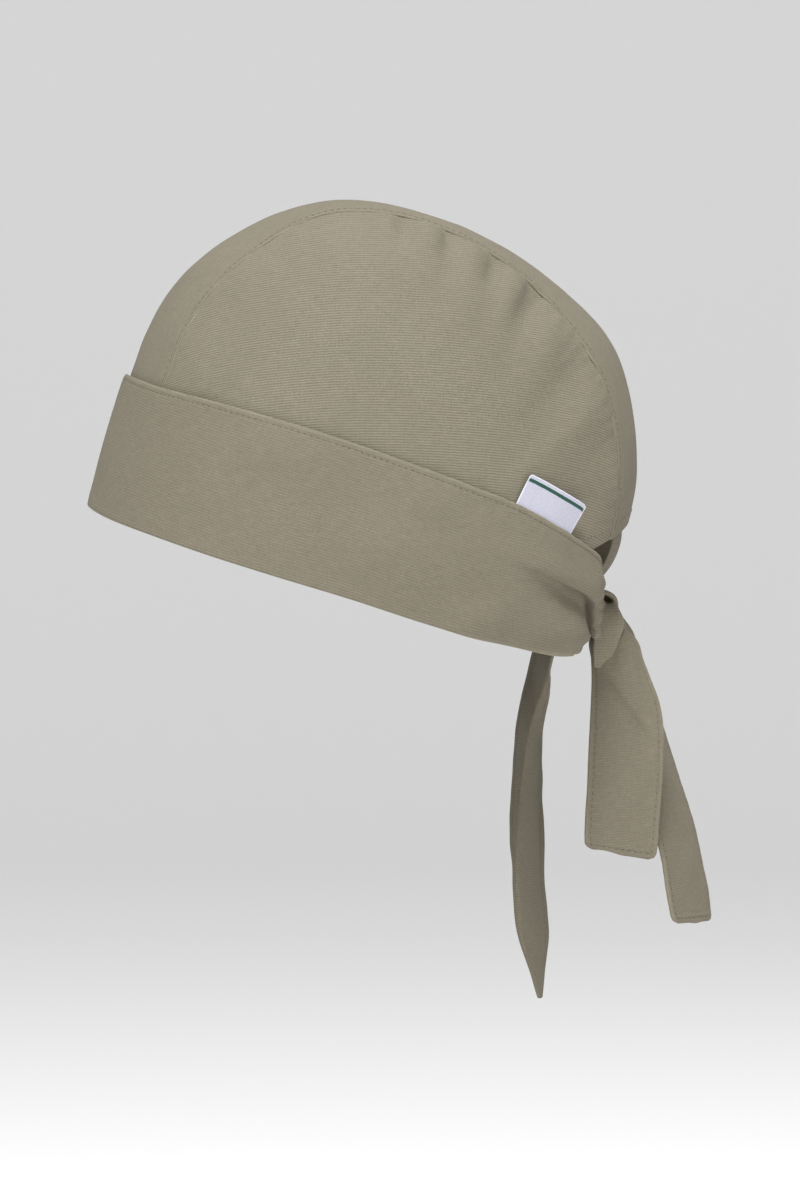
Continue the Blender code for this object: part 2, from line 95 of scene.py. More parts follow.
# Middle line of the crown over the top, from the front rim to the back rim.
# Columns: back (share of the rim's length), up (share of the height), flatness across the top
CROWN_PROFILE = [
    (-0.491, 0.000, 2.0),
    (-0.494, 0.200, 2.0),
    (-0.492, 0.370, 2.0),
    (-0.474, 0.572, 2.1),
    (-0.440, 0.686, 2.3),
    (-0.367, 0.815, 2.7),
    (-0.288, 0.911, 3.2),
    (-0.226, 0.958, 3.5),
    (-0.139, 0.989, 3.7),
    (-0.020, 0.996, 3.6),
    (0.155, 0.959, 2.9),
    (0.263, 0.903, 2.45),
    (0.381, 0.801, 2.1),
    (0.456, 0.634, 2.1),
    (0.497, 0.449, 2.15),
    (0.503, 0.330, 2.2),
    (0.502, 0.150, 2.2),
    (0.494, 0.000, 2.2),
]
CROWN_EXPONENT = 2.2
HEM_RISE = 0.0566
HEM_SPAN = 0.148
HEM_ARCH = 1.7
HEM_SWEEP_FROM = math.radians(110.0)

# Gathers and soft folds of the side panels. Columns: sweep over the top (degrees), side (share
# of half the width), reach along the sweep (degrees), reach sideways (share), height (mm)
CROWN_PUCKERS = [
    (76.5, 0.535, 2.0, 0.065, -0.90),
    (79.5, 0.545, 1.9, 0.080, 0.90),
    (82.5, 0.550, 2.1, 0.105, -2.30),
    (86.5, 0.555, 2.4, 0.115, 1.80),
    (90.3, 0.555, 2.1, 0.115, -2.45),
    (94.6, 0.565, 2.4, 0.120, 1.95),
    (98.8, 0.560, 2.2, 0.120, -2.60),
    (103.0, 0.570, 2.4, 0.125, 1.95),
    (107.2, 0.570, 2.4, 0.130, -2.60),
    (113.5, 0.61, 3.4, 0.150, 1.95),
    (121.0, 0.61, 3.6, 0.140, -1.50),
    (129.0, 0.64, 3.8, 0.130, 1.30),
    (147.0, 0.72, 5.0, 0.100, -1.80),
    (88.0, 0.68, 5.0, 0.080, -0.70),
    (101.0, 0.70, 5.5, 0.090, 0.60),
    (60.0, 0.90, 7.0, 0.050, -1.60),
    (54.0, 0.80, 6.0, 0.050, 0.70),
    (70.0, 0.84, 6.0, 0.040, -0.80),
    (76.0, 0.88, 6.0, 0.040, 0.90),
]

# The band from the front round to the knot. Columns: angle from the front (degrees), top edge
# and bottom edge above the rim plane (shares of the band's height), pull towards the knot
BAND_EDGES = [
    (0.0, 0.955, 0.000, 0.0),
    (21.0, 0.932, -0.026, 0.0),
    (42.0, 0.956, -0.016, 0.0),
    (65.0, 0.968, 0.000, 0.0),
    (90.0, 0.945, 0.004, 0.0),
    (113.0, 0.906, -0.022, 0.0),
    (129.0, 0.858, -0.034, 0.0),
    (137.0, 0.806, -0.038, 0.0),
    (146.0, 0.738, -0.038, 0.0),
    (155.0, 0.660, -0.028, 0.15),
    (161.0, 0.585, -0.028, 0.75),
    (168.0, 0.500, -0.030, 1.0),
    (174.5, 0.440, -0.038, 1.0),
    (178.0, 0.420, -0.042, 1.0),
]

# Where the band stands off the crown. Columns: angle (degrees), height up the band (share),
# reach along the angle (degrees), reach up the band (share), height (mm)
BAND_PUFFS = [
    (30.0, 0.35, 26.0, 0.30, 0.54),
    (95.0, 0.35, 16.0, 0.25, 1.26),
    (60.0, 0.78, 12.0, 0.14, 0.99),
    (104.0, 0.80, 9.0, 0.12, 0.90),
    (124.0, 0.10, 7.0, 0.14, 1.53),
    (138.0, 0.62, 12.0, 0.26, 1.80),
    (156.0, 0.78, 8.0, 0.14, 3.15),
    (152.0, 0.18, 11.0, 0.20, 4.50),
    (166.0, 0.24, 6.0, 0.22, 2.03),
    (168.0, 0.84, 5.0, 0.16, 1.58),
]

# The tail's middle line. Columns: back (share of half the rim's length), up (share of
# HEM_RISE), drop and forward (shares of the tail's drop)
TAIL_PATH = [
    (1.000, 0.820, 0.000, 0.000),
    (0.992, 0.650, 0.000, 0.000),
    (0.960, 0.500, 0.000, 0.000),
    (0.924, 0.330, 0.000, 0.000),
    (0.893, 0.120, 0.000, 0.000),
    (0.860, -0.130, 0.000, 0.000),
    (0.860, -0.130, 0.085, 0.026),
    (0.860, -0.130, 0.180, 0.050),
    (0.860, -0.130, 0.290, 0.062),
    (0.860, -0.130, 0.416, 0.064),
    (0.860, -0.130, 0.538, 0.064),
    (0.860, -0.130, 0.648, 0.059),
    (0.860, -0.130, 0.761, 0.050),
    (0.860, -0.130, 0.880, 0.036),
    (0.860, -0.130, 1.000, 0.024),
]
# Columns: share of the length, folding, place of the crease, width (share of the tail's width)
TAIL_FOLDS = [
    (0.00, 0.00, 0.90, 1.00),
    (0.22, 0.00, 0.85, 0.96),
    (0.35, 0.35, 0.70, 0.76),
    (0.45, 0.85, 0.30, 0.66),
    (0.60, 1.00, -0.30, 0.69),
    (0.75, 1.00, -0.65, 0.69),
    (0.90, 1.00, -0.80, 0.54),
    (1.00, 1.00, -0.80, 0.07),
]
TAIL_INNER_DIRECTION = (-0.98, -0.15)
TAIL_OUTER_DIRECTION = (-0.88, 0.46)

# Where each tie leaves the knot, from the knot's middle (mm): left, back, up
LEFT_TIE_START = (4.42, 2.95, -10.45)
RIGHT_TIE_START = (-4.51, 8.91, -8.01)
# The tie ends. Columns: drop, back and left (shares of the tie's length), width (share of the
# tie's width), turn from facing left towards facing back (degrees), cupping (share of width)
LEFT_TIE_PATH = [
    (-0.085, -0.016, -0.024, 0.26, -14.0, 0.10),
    (-0.045, -0.010, -0.008, 0.40, -12.0, 0.14),
    (0.000, 0.000, 0.000, 0.60, -10.0, 0.16),
    (0.094, 0.020, 0.012, 0.68, -4.0, 0.14),
    (0.183, 0.038, 0.023, 0.78, 0.0, 0.10),
    (0.289, 0.056, 0.030, 0.92, 4.0, 0.07),
    (0.395, 0.063, 0.032, 1.00, 6.0, 0.05),
    (0.530, 0.060, 0.032, 1.02, 6.0, 0.04),
    (0.687, 0.054, 0.030, 1.02, 5.0, 0.04),
    (0.843, 0.043, 0.028, 1.00, 4.0, 0.04),
    (0.966, 0.036, 0.028, 0.98, 4.0, 0.03),
    (1.000, 0.034, 0.028, 0.96, 4.0, 0.03),
]
RIGHT_TIE_PATH = [
    (-0.050, -0.030, 0.020, 0.22, 36.0, 0.08),
    (0.000, 0.000, 0.000, 0.34, 40.0, 0.10),
    (0.053, 0.011, -0.007, 0.46, 44.0, 0.12),
    (0.136, 0.022, -0.022, 0.66, 48.0, 0.12),
    (0.254, 0.061, -0.039, 0.88, 50.0, 0.08),
    (0.387, 0.097, -0.052, 1.00, 51.0, 0.06),
    (0.526, 0.143, -0.063, 1.02, 51.0, 0.05),
    (0.664, 0.186, -0.069, 1.02, 51.0, 0.05),
    (0.787, 0.216, -0.074, 1.02, 51.0, 0.04),
    (0.973, 0.249, -0.078, 1.00, 51.0, 0.04),
    (1.000, 0.254, -0.078, 0.97, 51.0, 0.04),
]

# Creases of the ties. Columns: along (mm from the knot) and across (-0.5 to 0.5) at both ends,
# reach (mm), height (mm)
LEFT_TIE_CREASES = [
    (13.0, -0.34, 28.0, -0.02, 1.7, -1.50),
    (28.0, -0.02, 44.0, 0.32, 2.1, -1.60),
    (18.0, -0.34, 42.0, 0.10, 3.0, 1.20),
    (2.0, 0.10, 11.0, -0.16, 2.0, -1.20),
    (3.0, 0.30, 24.0, 0.22, 2.6, 1.00),
    (50.0, -0.40, 66.0, 0.10, 6.0, -0.55),
    (58.0, 0.40, 72.0, -0.25, 6.0, 0.50),
]
RIGHT_TIE_CREASES = [
    (2.0, -0.20, 26.0, 0.05, 2.0, -0.90),
    (4.0, 0.30, 34.0, 0.30, 2.4, 0.70),
    (50.0, -0.45, 78.0, 0.10, 6.0, -0.55),
    (84.0, 0.45, 104.0, -0.10, 6.0, 0.50),
]

# Straps of the knot, from the knot's middle where it is worn (mm).
# Columns: left, back, up, half width, half thickness; the last entry says where the width lies
KNOT_STRAPS = [
    ([(-5.0, 1.0, 1.6, 3.0, 1.5), (-1.0, 1.4, 3.4, 3.2, 1.5), (3.4, 1.5, 3.3, 3.6, 1.5),
      (6.2, 1.5, 0.8, 4.6, 1.5), (7.2, 1.7, -3.0, 5.8, 1.4), (7.2, 0.5, -8.0, 5.5, 1.3),
      (6.8, -0.8, -13.0, 5.1, 1.1), (6.2, -2.1, -18.0, 3.7, 0.9), (5.4, -3.4, -22.5, 2.0, 0.4)],
     (0.0, 1.0, 0.0)),
    ([(3.0, -5.4, 8.8, 3.0, 1.3), (2.4, -1.8, 9.4, 3.4, 1.2), (2.0, 1.3, 8.6, 3.5, 1.15),
      (1.6, 3.6, 6.8, 3.5, 1.15), (1.2, 4.3, 4.2, 3.6, 1.3), (0.5, 3.6, 0.8, 3.6, 1.4)],
     (1.0, 0.0, 0.0)),
    ([(-6.4, -4.0, 7.2, 2.3, 1.4), (-4.2, 0.4, 7.0, 2.3, 1.4), (-3.0, 3.4, 4.6, 2.3, 1.4)],
     (0.0, 0.0, 1.0)),
    ([(5.0, 2.6, 1.0, 3.4, 1.3), (0.5, 5.2, -2.6, 3.6, 1.3), (-3.0, 6.6, -6.4, 4.0, 1.2),
      (-4.8, 8.6, -11.5, 5.2, 0.9)], (0.74, 0.67, 0.0)),
    ([(-9.6, -6.0, 6.4, 3.2, 1.7), (-6.0, -3.2, 4.6, 3.2, 1.9), (0.0, -1.6, 3.0, 3.0, 2.2)],
     (0.0, 0.0, 1.0)),
    ([(-9.6, -5.6, -0.6, 3.6, 1.8), (-5.6, -3.0, -0.6, 3.4, 2.2), (0.0, -1.4, -0.4, 3.2, 2.4)],
     (0.0, 0.0, 1.0)),
    ([(-9.6, -6.2, -7.0, 3.0, 1.6), (-6.0, -3.4, -5.6, 3.0, 1.9), (0.0, -1.6, -4.0, 3.0, 2.2)],
     (0.0, 0.0, 1.0)),
    ([(9.6, -6.0, 6.4, 3.2, 1.7), (6.0, -3.2, 4.6, 3.2, 1.9), (0.0, -1.6, 3.0, 3.0, 2.2)],
     (0.0, 0.0, 1.0)),
    ([(9.6, -5.6, -0.6, 3.6, 1.8), (5.6, -3.0, -0.6, 3.4, 2.2), (0.0, -1.4, -0.4, 3.2, 2.4)],
     (0.0, 0.0, 1.0)),
    ([(9.6, -6.2, -7.0, 3.0, 1.6), (6.0, -3.4, -5.6, 3.0, 1.9), (0.0, -1.6, -4.0, 3.0, 2.2)],
     (0.0, 0.0, 1.0)),
]

# Soft waves that no cloth is free of. Columns: wave length along and across (mm), phase, height
CALM_WAVES = [
    (61.0, 47.0, 0.4, 0.16),
    (37.0, -71.0, 2.1, 0.13),
    (-29.0, 43.0, 4.0, 0.09),
    (17.0, 23.0, 1.2, 0.05),
    (-13.0, 19.0, 5.2, 0.035),
]


# Curves, surfaces and reliefs


def spline(keys, values, wanted):
    """Values at `wanted` on a smooth curve through rows of values at rising keys."""
    keys = np.asarray(keys, dtype=float)
    values = np.asarray(values, dtype=float)
    slopes = np.gradient(values, keys, axis=0)
    left = np.clip(np.searchsorted(keys, wanted, side="right") - 1, 0, len(keys) - 2)
    width = (keys[left + 1] - keys[left])[:, None]
    t = (wanted - keys[left])[:, None] / width
    start = values[left] * (2 * t**3 - 3 * t**2 + 1)
    end = values[left + 1] * (3 * t**2 - 2 * t**3)
    bend = slopes[left] * (t**3 - 2 * t**2 + t) + slopes[left + 1] * (t**3 - t**2)
    return start + end + width * bend


def along_rows(rows, shares):
    """Points at shares of the length of a smooth curve through rows."""
    rows = np.asarray(rows, dtype=float)
    steps = np.linalg.norm(np.diff(rows[:, :3], axis=0), axis=1)
    way = np.concatenate(([0.0], np.cumsum(steps)))
    return spline(way, rows, np.asarray(shares) * way[-1])


def smooth_step(low, high, value):
    """0 below low, 1 above high, and a smooth rise between them."""
    t = np.clip((value - low) / (high - low), 0.0, 1.0)
    return t * t * (3.0 - 2.0 * t)


def relief(table, along, across):
    """Sum of soft bumps and dents of a table, in metres."""
    total = np.zeros_like(along)
    for place, side, reach, spread, height in table:
        away = ((along - place) / reach) ** 2 + ((across - side) / spread) ** 2
        total += height * MM * np.exp(-away)
    return total


def creases(table, along, across, width):
    """Sum of folds that run along straight lines, in metres. Along and width are in mm."""
    total = np.zeros_like(along)
    for from_along, from_across, to_along, to_across, reach, height in table:
        start = np.array([from_along, from_across * width])
        line = np.array([to_along, to_across * width]) - start
        x, y = along - start[0], across * width - start[1]
        share = np.clip((x * line[0] + y * line[1]) / (line @ line), 0.0, 1.0)
        away = np.hypot(x - share * line[0], y - share * line[1])
        fade = 0.35 + 0.65 * np.sin(np.pi * np.clip(share, 0.02, 0.98))
        total += height * MM * fade * np.exp(-((away / reach) ** 2))
    return total


def calm_waves(along, across, strength=1.0, turn=0.0):
    """Low uneven waves, in metres, from places in millimetres."""
    total = np.zeros_like(along)
    for length, breadth, phase, height in CALM_WAVES:
        wave = np.sin(2 * np.pi * (along / length + across / breadth) + phase + turn)
        slow = 0.6 + 0.4 * np.sin(2 * np.pi * (along / 113.0 - across / 89.0) + 2.0 * phase)
        total += wave * slow * height * MM
    return total * strength


def dip(distance, place, reach):
    """1 at a place, falling off softly on both sides."""
    return np.exp(-(((distance - place) / reach) ** 2))


def rubbed(distance, reach, strength):
    """Wear of an edge at distances from it."""
    return np.clip(1.0 - distance / reach, 0.0, 1.0) * strength


def nearest(values, wanted):
    """Number of the value that is nearest to the wanted one."""
    return int(np.argmin(np.abs(values - wanted)))


def grid_normals(points):
    """Unit normals of a grid of points."""
    normals = np.cross(np.gradient(points, axis=0), np.gradient(points, axis=1))
    size = np.linalg.norm(normals, axis=-1, keepdims=True)
    return normals / np.maximum(size, 1e-12)


def grid_lengths(points):
    """Lengths along both directions of a grid, from its first row and its first column."""
    rows = np.linalg.norm(np.diff(points, axis=0), axis=-1)
    columns = np.linalg.norm(np.diff(points, axis=1), axis=-1)
    down = np.concatenate((np.zeros((1, points.shape[1])), np.cumsum(rows, axis=0)))
    over = np.concatenate((np.zeros((points.shape[0], 1)), np.cumsum(columns, axis=1)), axis=1)
    return down, over


class Crown:
    """The outside of the crown in the rim's own frame, and how it is worn."""

    def __init__(self, sizes):
        self.length = sizes.rim_length
        self.half = sizes.rim_width / 2
        self.height = sizes.crown_height
        self.tilt = sizes.rim_tilt
        self.sag = sizes.rim_sag
        rows = np.array(CROWN_PROFILE) * (self.length, self.height, 1.0)
        steps = np.hypot(np.diff(rows[:, 0]), np.diff(rows[:, 1]))
        way = np.concatenate(([0.0], np.cumsum(steps)))
        line = spline(way, rows, np.linspace(0.0, way[-1], 900))
        self.sweeps = np.arctan2(line[:, 1], -line[:, 0])
        self.radii = np.hypot(line[:, 0], line[:, 1])
        self.flatness = line[:, 2]

    def reach(self, sweep, side):
        """Distance of the outside from the axis through both ears."""
        share = np.clip(np.abs(side) / self.half, 0.0, 1.0)
        narrowing = 1.0 - share ** np.interp(sweep, self.sweeps, self.flatness)
        radius = np.interp(sweep, self.sweeps, self.radii)
        return radius * narrowing ** (1.0 / CROWN_EXPONENT)

    def points(self, sweep, side):
        """Points of the outside."""
        reach = self.reach(sweep, side)
        return np.stack([side, -reach * np.cos(sweep), reach * np.sin(sweep)], axis=-1)

    def level(self, points):
        """1 on the outside, less inside, more outside."""
        sweep = np.arctan2(points[..., 2], -points[..., 1])
        far = np.hypot(points[..., 1], points[..., 2]) / np.interp(sweep, self.sweeps, self.radii)
        flat = np.interp(sweep, self.sweeps, self.flatness)
        return far**CROWN_EXPONENT + (np.abs(points[..., 0]) / self.half) ** flat

    def normals(self, points):
        """Outward unit normals at points of the outside."""
        step = 0.0002
        slope = []
        for axis in range(3):
            move = np.zeros(3)
            move[axis] = step
            slope.append(self.level(points + move) - self.level(points - move))
        normals = np.stack(slope, axis=-1)
        size = np.linalg.norm(normals, axis=-1, keepdims=True)
        return normals / np.maximum(size, 1e-12)

    def outline(self, angle, height):
        """Distance of the outside from the middle, seen from above, at a height."""
        near = np.zeros_like(angle)
        far = np.full_like(angle, self.length)
        for _ in range(26):
            middle = (near + far) / 2
            forward = middle * np.cos(angle)
            side = middle * np.sin(angle)
            sweep = np.arctan2(height, forward)
            inside = np.hypot(forward, height) < self.reach(sweep, side)
            near = np.where(inside, middle, near)
            far = np.where(inside, far, middle)
        return near

    def hem_sweep(self, side):
        """Sweep angle at which the crown ends at the back."""
        sweeps = np.linspace(HEM_SWEEP_FROM, math.pi, 600)
        heights = self.points(sweeps, np.full_like(sweeps, side))[:, 2]
        share = np.clip(abs(side) / (HEM_SPAN / 2), 0.0, 1.0)
        rise = HEM_RISE * np.sqrt(1.0 - share**HEM_ARCH)
        return np.interp(-rise, -heights, sweeps)

    def worn(self, points):
        """Takes points from the rim's frame to where they are worn."""
        x, y, z = points[..., 0], points[..., 1], points[..., 2]
        low = np.clip(1.0 - z / self.height, 0.0, None)
        z = z - self.sag * (np.abs(x) / self.half) ** 2 * low**2
        back = y * math.cos(self.tilt) + z * math.sin(self.tilt)
        up = z * math.cos(self.tilt) - y * math.sin(self.tilt)
        return np.stack([x, back, up], axis=-1)

    def worn_directions(self, points, normals):
        """Outward unit directions at points, where they are worn."""
        ahead = self.worn(points + normals * 0.01) - self.worn(points)
        return ahead / np.linalg.norm(ahead, axis=-1, keepdims=True)

    def strips(self, across, columns):
        """Grid from the front rim to the back hem, and its sweeps, a row for each place across."""
        sweeps = np.array([np.linspace(0.0, self.hem_sweep(side), columns) for side in across])
        return self.points(sweeps, np.repeat(across[:, None], columns, axis=1)), sweeps

    def knot_middle(self):
        """The knot's middle, where it is worn."""
        back = self.outline(np.array([math.pi]), np.array([KNOT_RISE]))[0]
        return self.worn(np.array([0.0, back + KNOT_STAND, KNOT_RISE]))


# Meshes


def skin(outer, inner, rounding=3):
    """Closed skin between two grids: vertices, faces and each vertex's place in the grid."""
    rows, columns = outer.shape[:2]
    count = rows * columns
    vertices = [outer.reshape(-1, 3), inner.reshape(-1, 3)]
    number = np.arange(count).reshape(rows, columns)
    places = [number.ravel(), number.ravel()]
    a, b = number[:-1, :-1].ravel(), number[:-1, 1:].ravel()
    c, d = number[1:, 1:].ravel(), number[1:, :-1].ravel()
    faces = [np.stack([a, b, c, d], axis=1), np.stack([d, c, b, a], axis=1) + count]
    ring = np.concatenate([number[0, :-1], number[:-1, -1], number[-1, :0:-1], number[:0:-1, 0]])
    inward = np.concatenate([number[1, :-1], number[:-1, -2], number[-2, :0:-1], number[:0:-1, 1]])
    flat_outer, flat_inner = outer.reshape(-1, 3), inner.reshape(-1, 3)
    middle = (flat_outer[ring] + flat_inner[ring]) / 2
    half = (flat_outer[ring] - flat_inner[ring]) / 2
    away = middle - (flat_outer[inward] + flat_inner[inward]) / 2
    away /= np.maximum(np.linalg.norm(away, axis=1, keepdims=True), 1e-9)
    thick = np.linalg.norm(half, axis=1, keepdims=True)
    loops = [ring]
    start = 2 * count
    for step in range(1, rounding + 1):
        turn = math.pi * step / (rounding + 1)
        vertices.append(middle + half * math.cos(turn) + away * thick * math.sin(turn))
        places.append(ring)
        loops.append(np.arange(start, start + len(ring)))
        start += len(ring)
    loops.append(ring + count)
    for first, second in zip(loops, loops[1:]):
        faces.append(np.stack([first, second, np.roll(second, -1), np.roll(first, -1)], axis=1))
    return np.concatenate(vertices), np.concatenate(faces), np.concatenate(places)


def ring_faces(rows, sides, base=0):
    """Faces between closed rings of vertices that are numbered ring by ring."""
    faces = []
    for row in range(rows):
        for side in range(sides):
            a = base + row * sides + side
            b = base + row * sides + (side + 1) % sides
            faces.append((a, b, b + sides, a + sides))
    return faces


def new_object(name, vertices, faces, material):
    """Makes a smooth mesh object."""
    mesh = bpy.data.meshes.new(name)
    mesh.from_pydata(vertices, [], faces)
    mesh.update()
    mesh.shade_smooth()
    mesh.materials.append(material)
    made = bpy.data.objects.new(name, mesh)
    bpy.context.scene.collection.objects.link(made)
    return made


def set_threads(mesh, over, down):
    """Gives a mesh its thread directions as a UV map in metres, from a place a vertex."""
    layer = mesh.uv_layers.new(name="cloth")
    corner = np.zeros(len(mesh.loops), dtype=np.int32)
    mesh.loops.foreach_get("vertex_index", corner)
    pairs = np.stack([over[corner], down[corner]], axis=1)
    layer.data.foreach_set("uv", pairs.astype(np.float32).ravel())


def set_numbers(mesh, name, values):
    """Gives a mesh one number a vertex."""
    layer = mesh.attributes.new(name, "FLOAT", "POINT")
    layer.data.foreach_set("value", values.astype(np.float32))


def cloth_piece(name, outer, inner, material, over=None, down=None, **grids):
    """One piece of cloth from its two sides, with its faces turned outwards."""
    vertices, faces, places = skin(outer, inner)
    made = new_object(name, vertices.tolist(), faces.tolist(), material)
    corners = vertices[faces[:, :3]]
    cross = np.cross(corners[:, 1] - corners[:, 0], corners[:, 2] - corners[:, 0])
    if np.einsum("ij,ij->", corners[:, 0], cross) < 0.0:
        made.data.flip_normals()
    if over is None:
        down, over = grid_lengths(outer)
    set_threads(made.data, over.ravel()[places], down.ravel()[places])
    for title, grid in grids.items():
        set_numbers(made.data, title, grid.ravel()[places])
    return made


def stitches(name, lines, material, pitch=2.7 * MM, gap=0.55 * MM, radius=0.17 * MM):
    """Rows of stitches. Each line is a pair: points on the cloth and its outward normals."""
    sides, rings = 6, 7
    turn = 2 * np.pi * np.arange(sides) / sides
    vertices, faces = [], []
    base = 0
    for points, normals in lines:
        way = np.concatenate(([0.0], np.cumsum(np.linalg.norm(np.diff(points, axis=0), axis=1))))
        count = int(way[-1] / pitch)
        for number in range(count):
            start = (number + 0.5) * way[-1] / count - (pitch - gap) / 2
            share = np.linspace(0.0, 1.0, rings)
            place = start + share * (pitch - gap)
            centre = np.stack([np.interp(place, way, points[:, k]) for k in range(3)], axis=1)
            out = np.stack([np.interp(place, way, normals[:, k]) for k in range(3)], axis=1)
            out /= np.linalg.norm(out, axis=1, keepdims=True)
            arch = np.sin(np.pi * share)[:, None]
            centre = centre + out * radius * (1.5 * arch - 1.1)
            ahead = np.gradient(centre, axis=0)
            ahead /= np.linalg.norm(ahead, axis=1, keepdims=True)
            beside = np.cross(ahead, out)
            out = np.cross(beside, ahead)
            thick = radius * (0.35 + 0.65 * np.sqrt(arch))
            ring = (
                centre[:, None]
                + (beside[:, None] * np.cos(turn)[None, :, None]) * thick[:, None] * 1.15
                + (out[:, None] * np.sin(turn)[None, :, None]) * thick[:, None]
            )
            vertices.append(ring.reshape(-1, 3))
            faces += ring_faces(rings - 1, sides, base)
            vertices.append(np.stack([centre[0], centre[-1]]))
            first, last = base + rings * sides, base + rings * sides + 1
            for side in range(sides):
                near, after = base + side, base + (side + 1) % sides
                faces.append((after, near, first))
                near, after = near + (rings - 1) * sides, after + (rings - 1) * sides
                faces.append((near, after, last))
            base += rings * sides + 2
    return new_object(name, np.concatenate(vertices).tolist(), faces, material)


def lift(points, normals, height):
    """Moves points along their normals."""
    return points + normals * np.asarray(height)[..., None]


# Materials


def node(tree, kind, place, **values):
    """Adds a node. Values are links or defaults for its inputs, or its own properties."""
    made = tree.nodes.new(kind)
    made.location = place
    for name, value in values.items():
        title = name.replace("_", " ").title()
        if isinstance(value, bpy.types.NodeSocket):
            tree.links.new(value, made.inputs[title])
        elif hasattr(made, name):
            setattr(made, name, value)
        else:
            made.inputs[title].default_value = value
    return made


def maths(tree, operation, place, first, second=None, third=None):
    """Adds a Math node with linked or fixed inputs."""
    made = tree.nodes.new("ShaderNodeMath")
    made.operation = operation
    made.location = place
    for socket, value in zip(made.inputs, (first, second, third)):
        if isinstance(value, (int, float)):
            socket.default_value = value
        elif value is not None:
            tree.links.new(value, socket)
    return made.outputs[0]


def blend(tree, place, factor, first, second):
    """Mixes two colours."""
    made = node(tree, "ShaderNodeMix", place, data_type="RGBA", factor=factor)
    for socket, value in ((made.inputs[6], first), (made.inputs[7], second)):
        if isinstance(value, bpy.types.NodeSocket):
            tree.links.new(value, socket)
        else:
            socket.default_value = value
    return made.outputs[2]


def noise(tree, place, vector, scale, detail, **values):
    """Noise texture, as its factor."""
    return node(tree, "ShaderNodeTexNoise", place, vector=vector, scale=scale, detail=detail,
                **values).outputs["Fac"]


def stretched_noise(tree, place, vector, stretch, detail, roughness=0.5):
    """Flat noise that is stretched along the threads, as its factor."""
    stretched = node(tree, "ShaderNodeVectorMath", (place[0] - 200, place[1]),
                     operation="MULTIPLY", vector=vector)
    stretched.inputs[1].default_value = stretch
    return noise(tree, place, stretched.outputs[0], 1.0, detail, roughness=roughness,
                 noise_dimensions="2D")


def turning(tree, place, length, pitch, turn):
    """Sine of a length that turns by `turn` in each pitch."""
    across, up = place
    share = maths(tree, "DIVIDE", place, length, pitch)
    angle = maths(tree, "MULTIPLY", (across + 100, up), share, turn)
    return maths(tree, "SINE", (across + 200, up), angle)


def toned(colour, share):
    """A colour with its brightness changed."""
    return tuple(min(1.0, value * share) for value in colour[:3]) + (1.0,)


def new_group(name, inputs, outputs):
    """Node group with named sockets: the group, what enters it and what leaves it."""
    group = bpy.data.node_groups.new(name, "ShaderNodeTree")
    for way, sockets in (("INPUT", inputs), ("OUTPUT", outputs)):
        for title, kind in sockets:
            group.interface.new_socket(title, in_out=way, socket_type="NodeSocket" + kind)
    enter = node(group, "NodeGroupInput", (-1200, 0)).outputs
    leave = node(group, "NodeGroupOutput", (900, 0)).inputs
    return group, enter, leave


def weave_group():
    """Node group: plain weave with a fine rib. Puts out the height and how far threads show."""
    if "Ribbed weave" in bpy.data.node_groups:
        return bpy.data.node_groups["Ribbed weave"]
    group, enter, leave = new_group(
        "Ribbed weave",
        (("Vector", "Vector"), ("Thread Pitch", "Float"), ("Rib Pitch", "Float"),
         ("Slub", "Float"), ("Rib Depth", "Float")),
        (("Height", "Float"), ("Thread", "Float"), ("Streak", "Float")),
    )
    vector = enter["Vector"]
    wander = noise(group, (-1000, -300), vector, 260.0, 2.0, noise_dimensions="2D")
    drift = maths(group, "MULTIPLY", (-800, -300), wander, 0.00022)
    split = node(group, "ShaderNodeSeparateXYZ", (-1000, 0), vector=vector).outputs
    over = maths(group, "ADD", (-800, 60), split["X"], drift)
    down = maths(group, "ADD", (-800, -60), split["Y"], drift)
    warp = turning(group, (-600, 100), over, enter["Thread Pitch"], math.pi)
    weft = turning(group, (-600, -60), down, enter["Thread Pitch"], math.pi)
    rib = turning(group, (-600, -200), down, enter["Rib Pitch"], 2 * math.pi)
    crossing = maths(group, "MULTIPLY", (-240, 20), warp, weft)
    above = maths(group, "GREATER_THAN", (-100, 20), crossing, 0.0)
    warp_round = maths(group, "ABSOLUTE", (-240, 160), warp)
    weft_round = maths(group, "ABSOLUTE", (-240, -120), weft)
    shown = node(group, "ShaderNodeMix", (60, 60), factor=above, a=warp_round,
                 b=weft_round).outputs["Result"]
    slub = stretched_noise(group, (-800, -560), vector, (170.0, 1500.0, 0.0), 3.0, 0.62)
    warp_slub = stretched_noise(group, (-800, -760), vector, (1300.0, 210.0, 0.0), 2.0)
    slub = maths(group, "MULTIPLY", (-640, -560), slub, 0.65)
    streak = maths(group, "MULTIPLY_ADD", (-560, -640), warp_slub, 0.35, slub)
    ribbed = maths(group, "MULTIPLY_ADD", (240, -140), rib, enter["Rib Depth"], shown)
    slubbed = maths(group, "MULTIPLY", (240, -300), streak, enter["Slub"])
    height = maths(group, "MULTIPLY_ADD", (420, -60), slubbed, 1.4, ribbed)
    least = maths(group, "MULTIPLY_ADD", (300, 180), rib, enter["Rib Depth"], 0.27)
    thread = maths(group, "MULTIPLY_ADD", (420, 120), shown, 0.45, least)
    for title, value in (("Height", height), ("Thread", thread), ("Streak", streak)):
        group.links.new(value, leave[title])
    return group


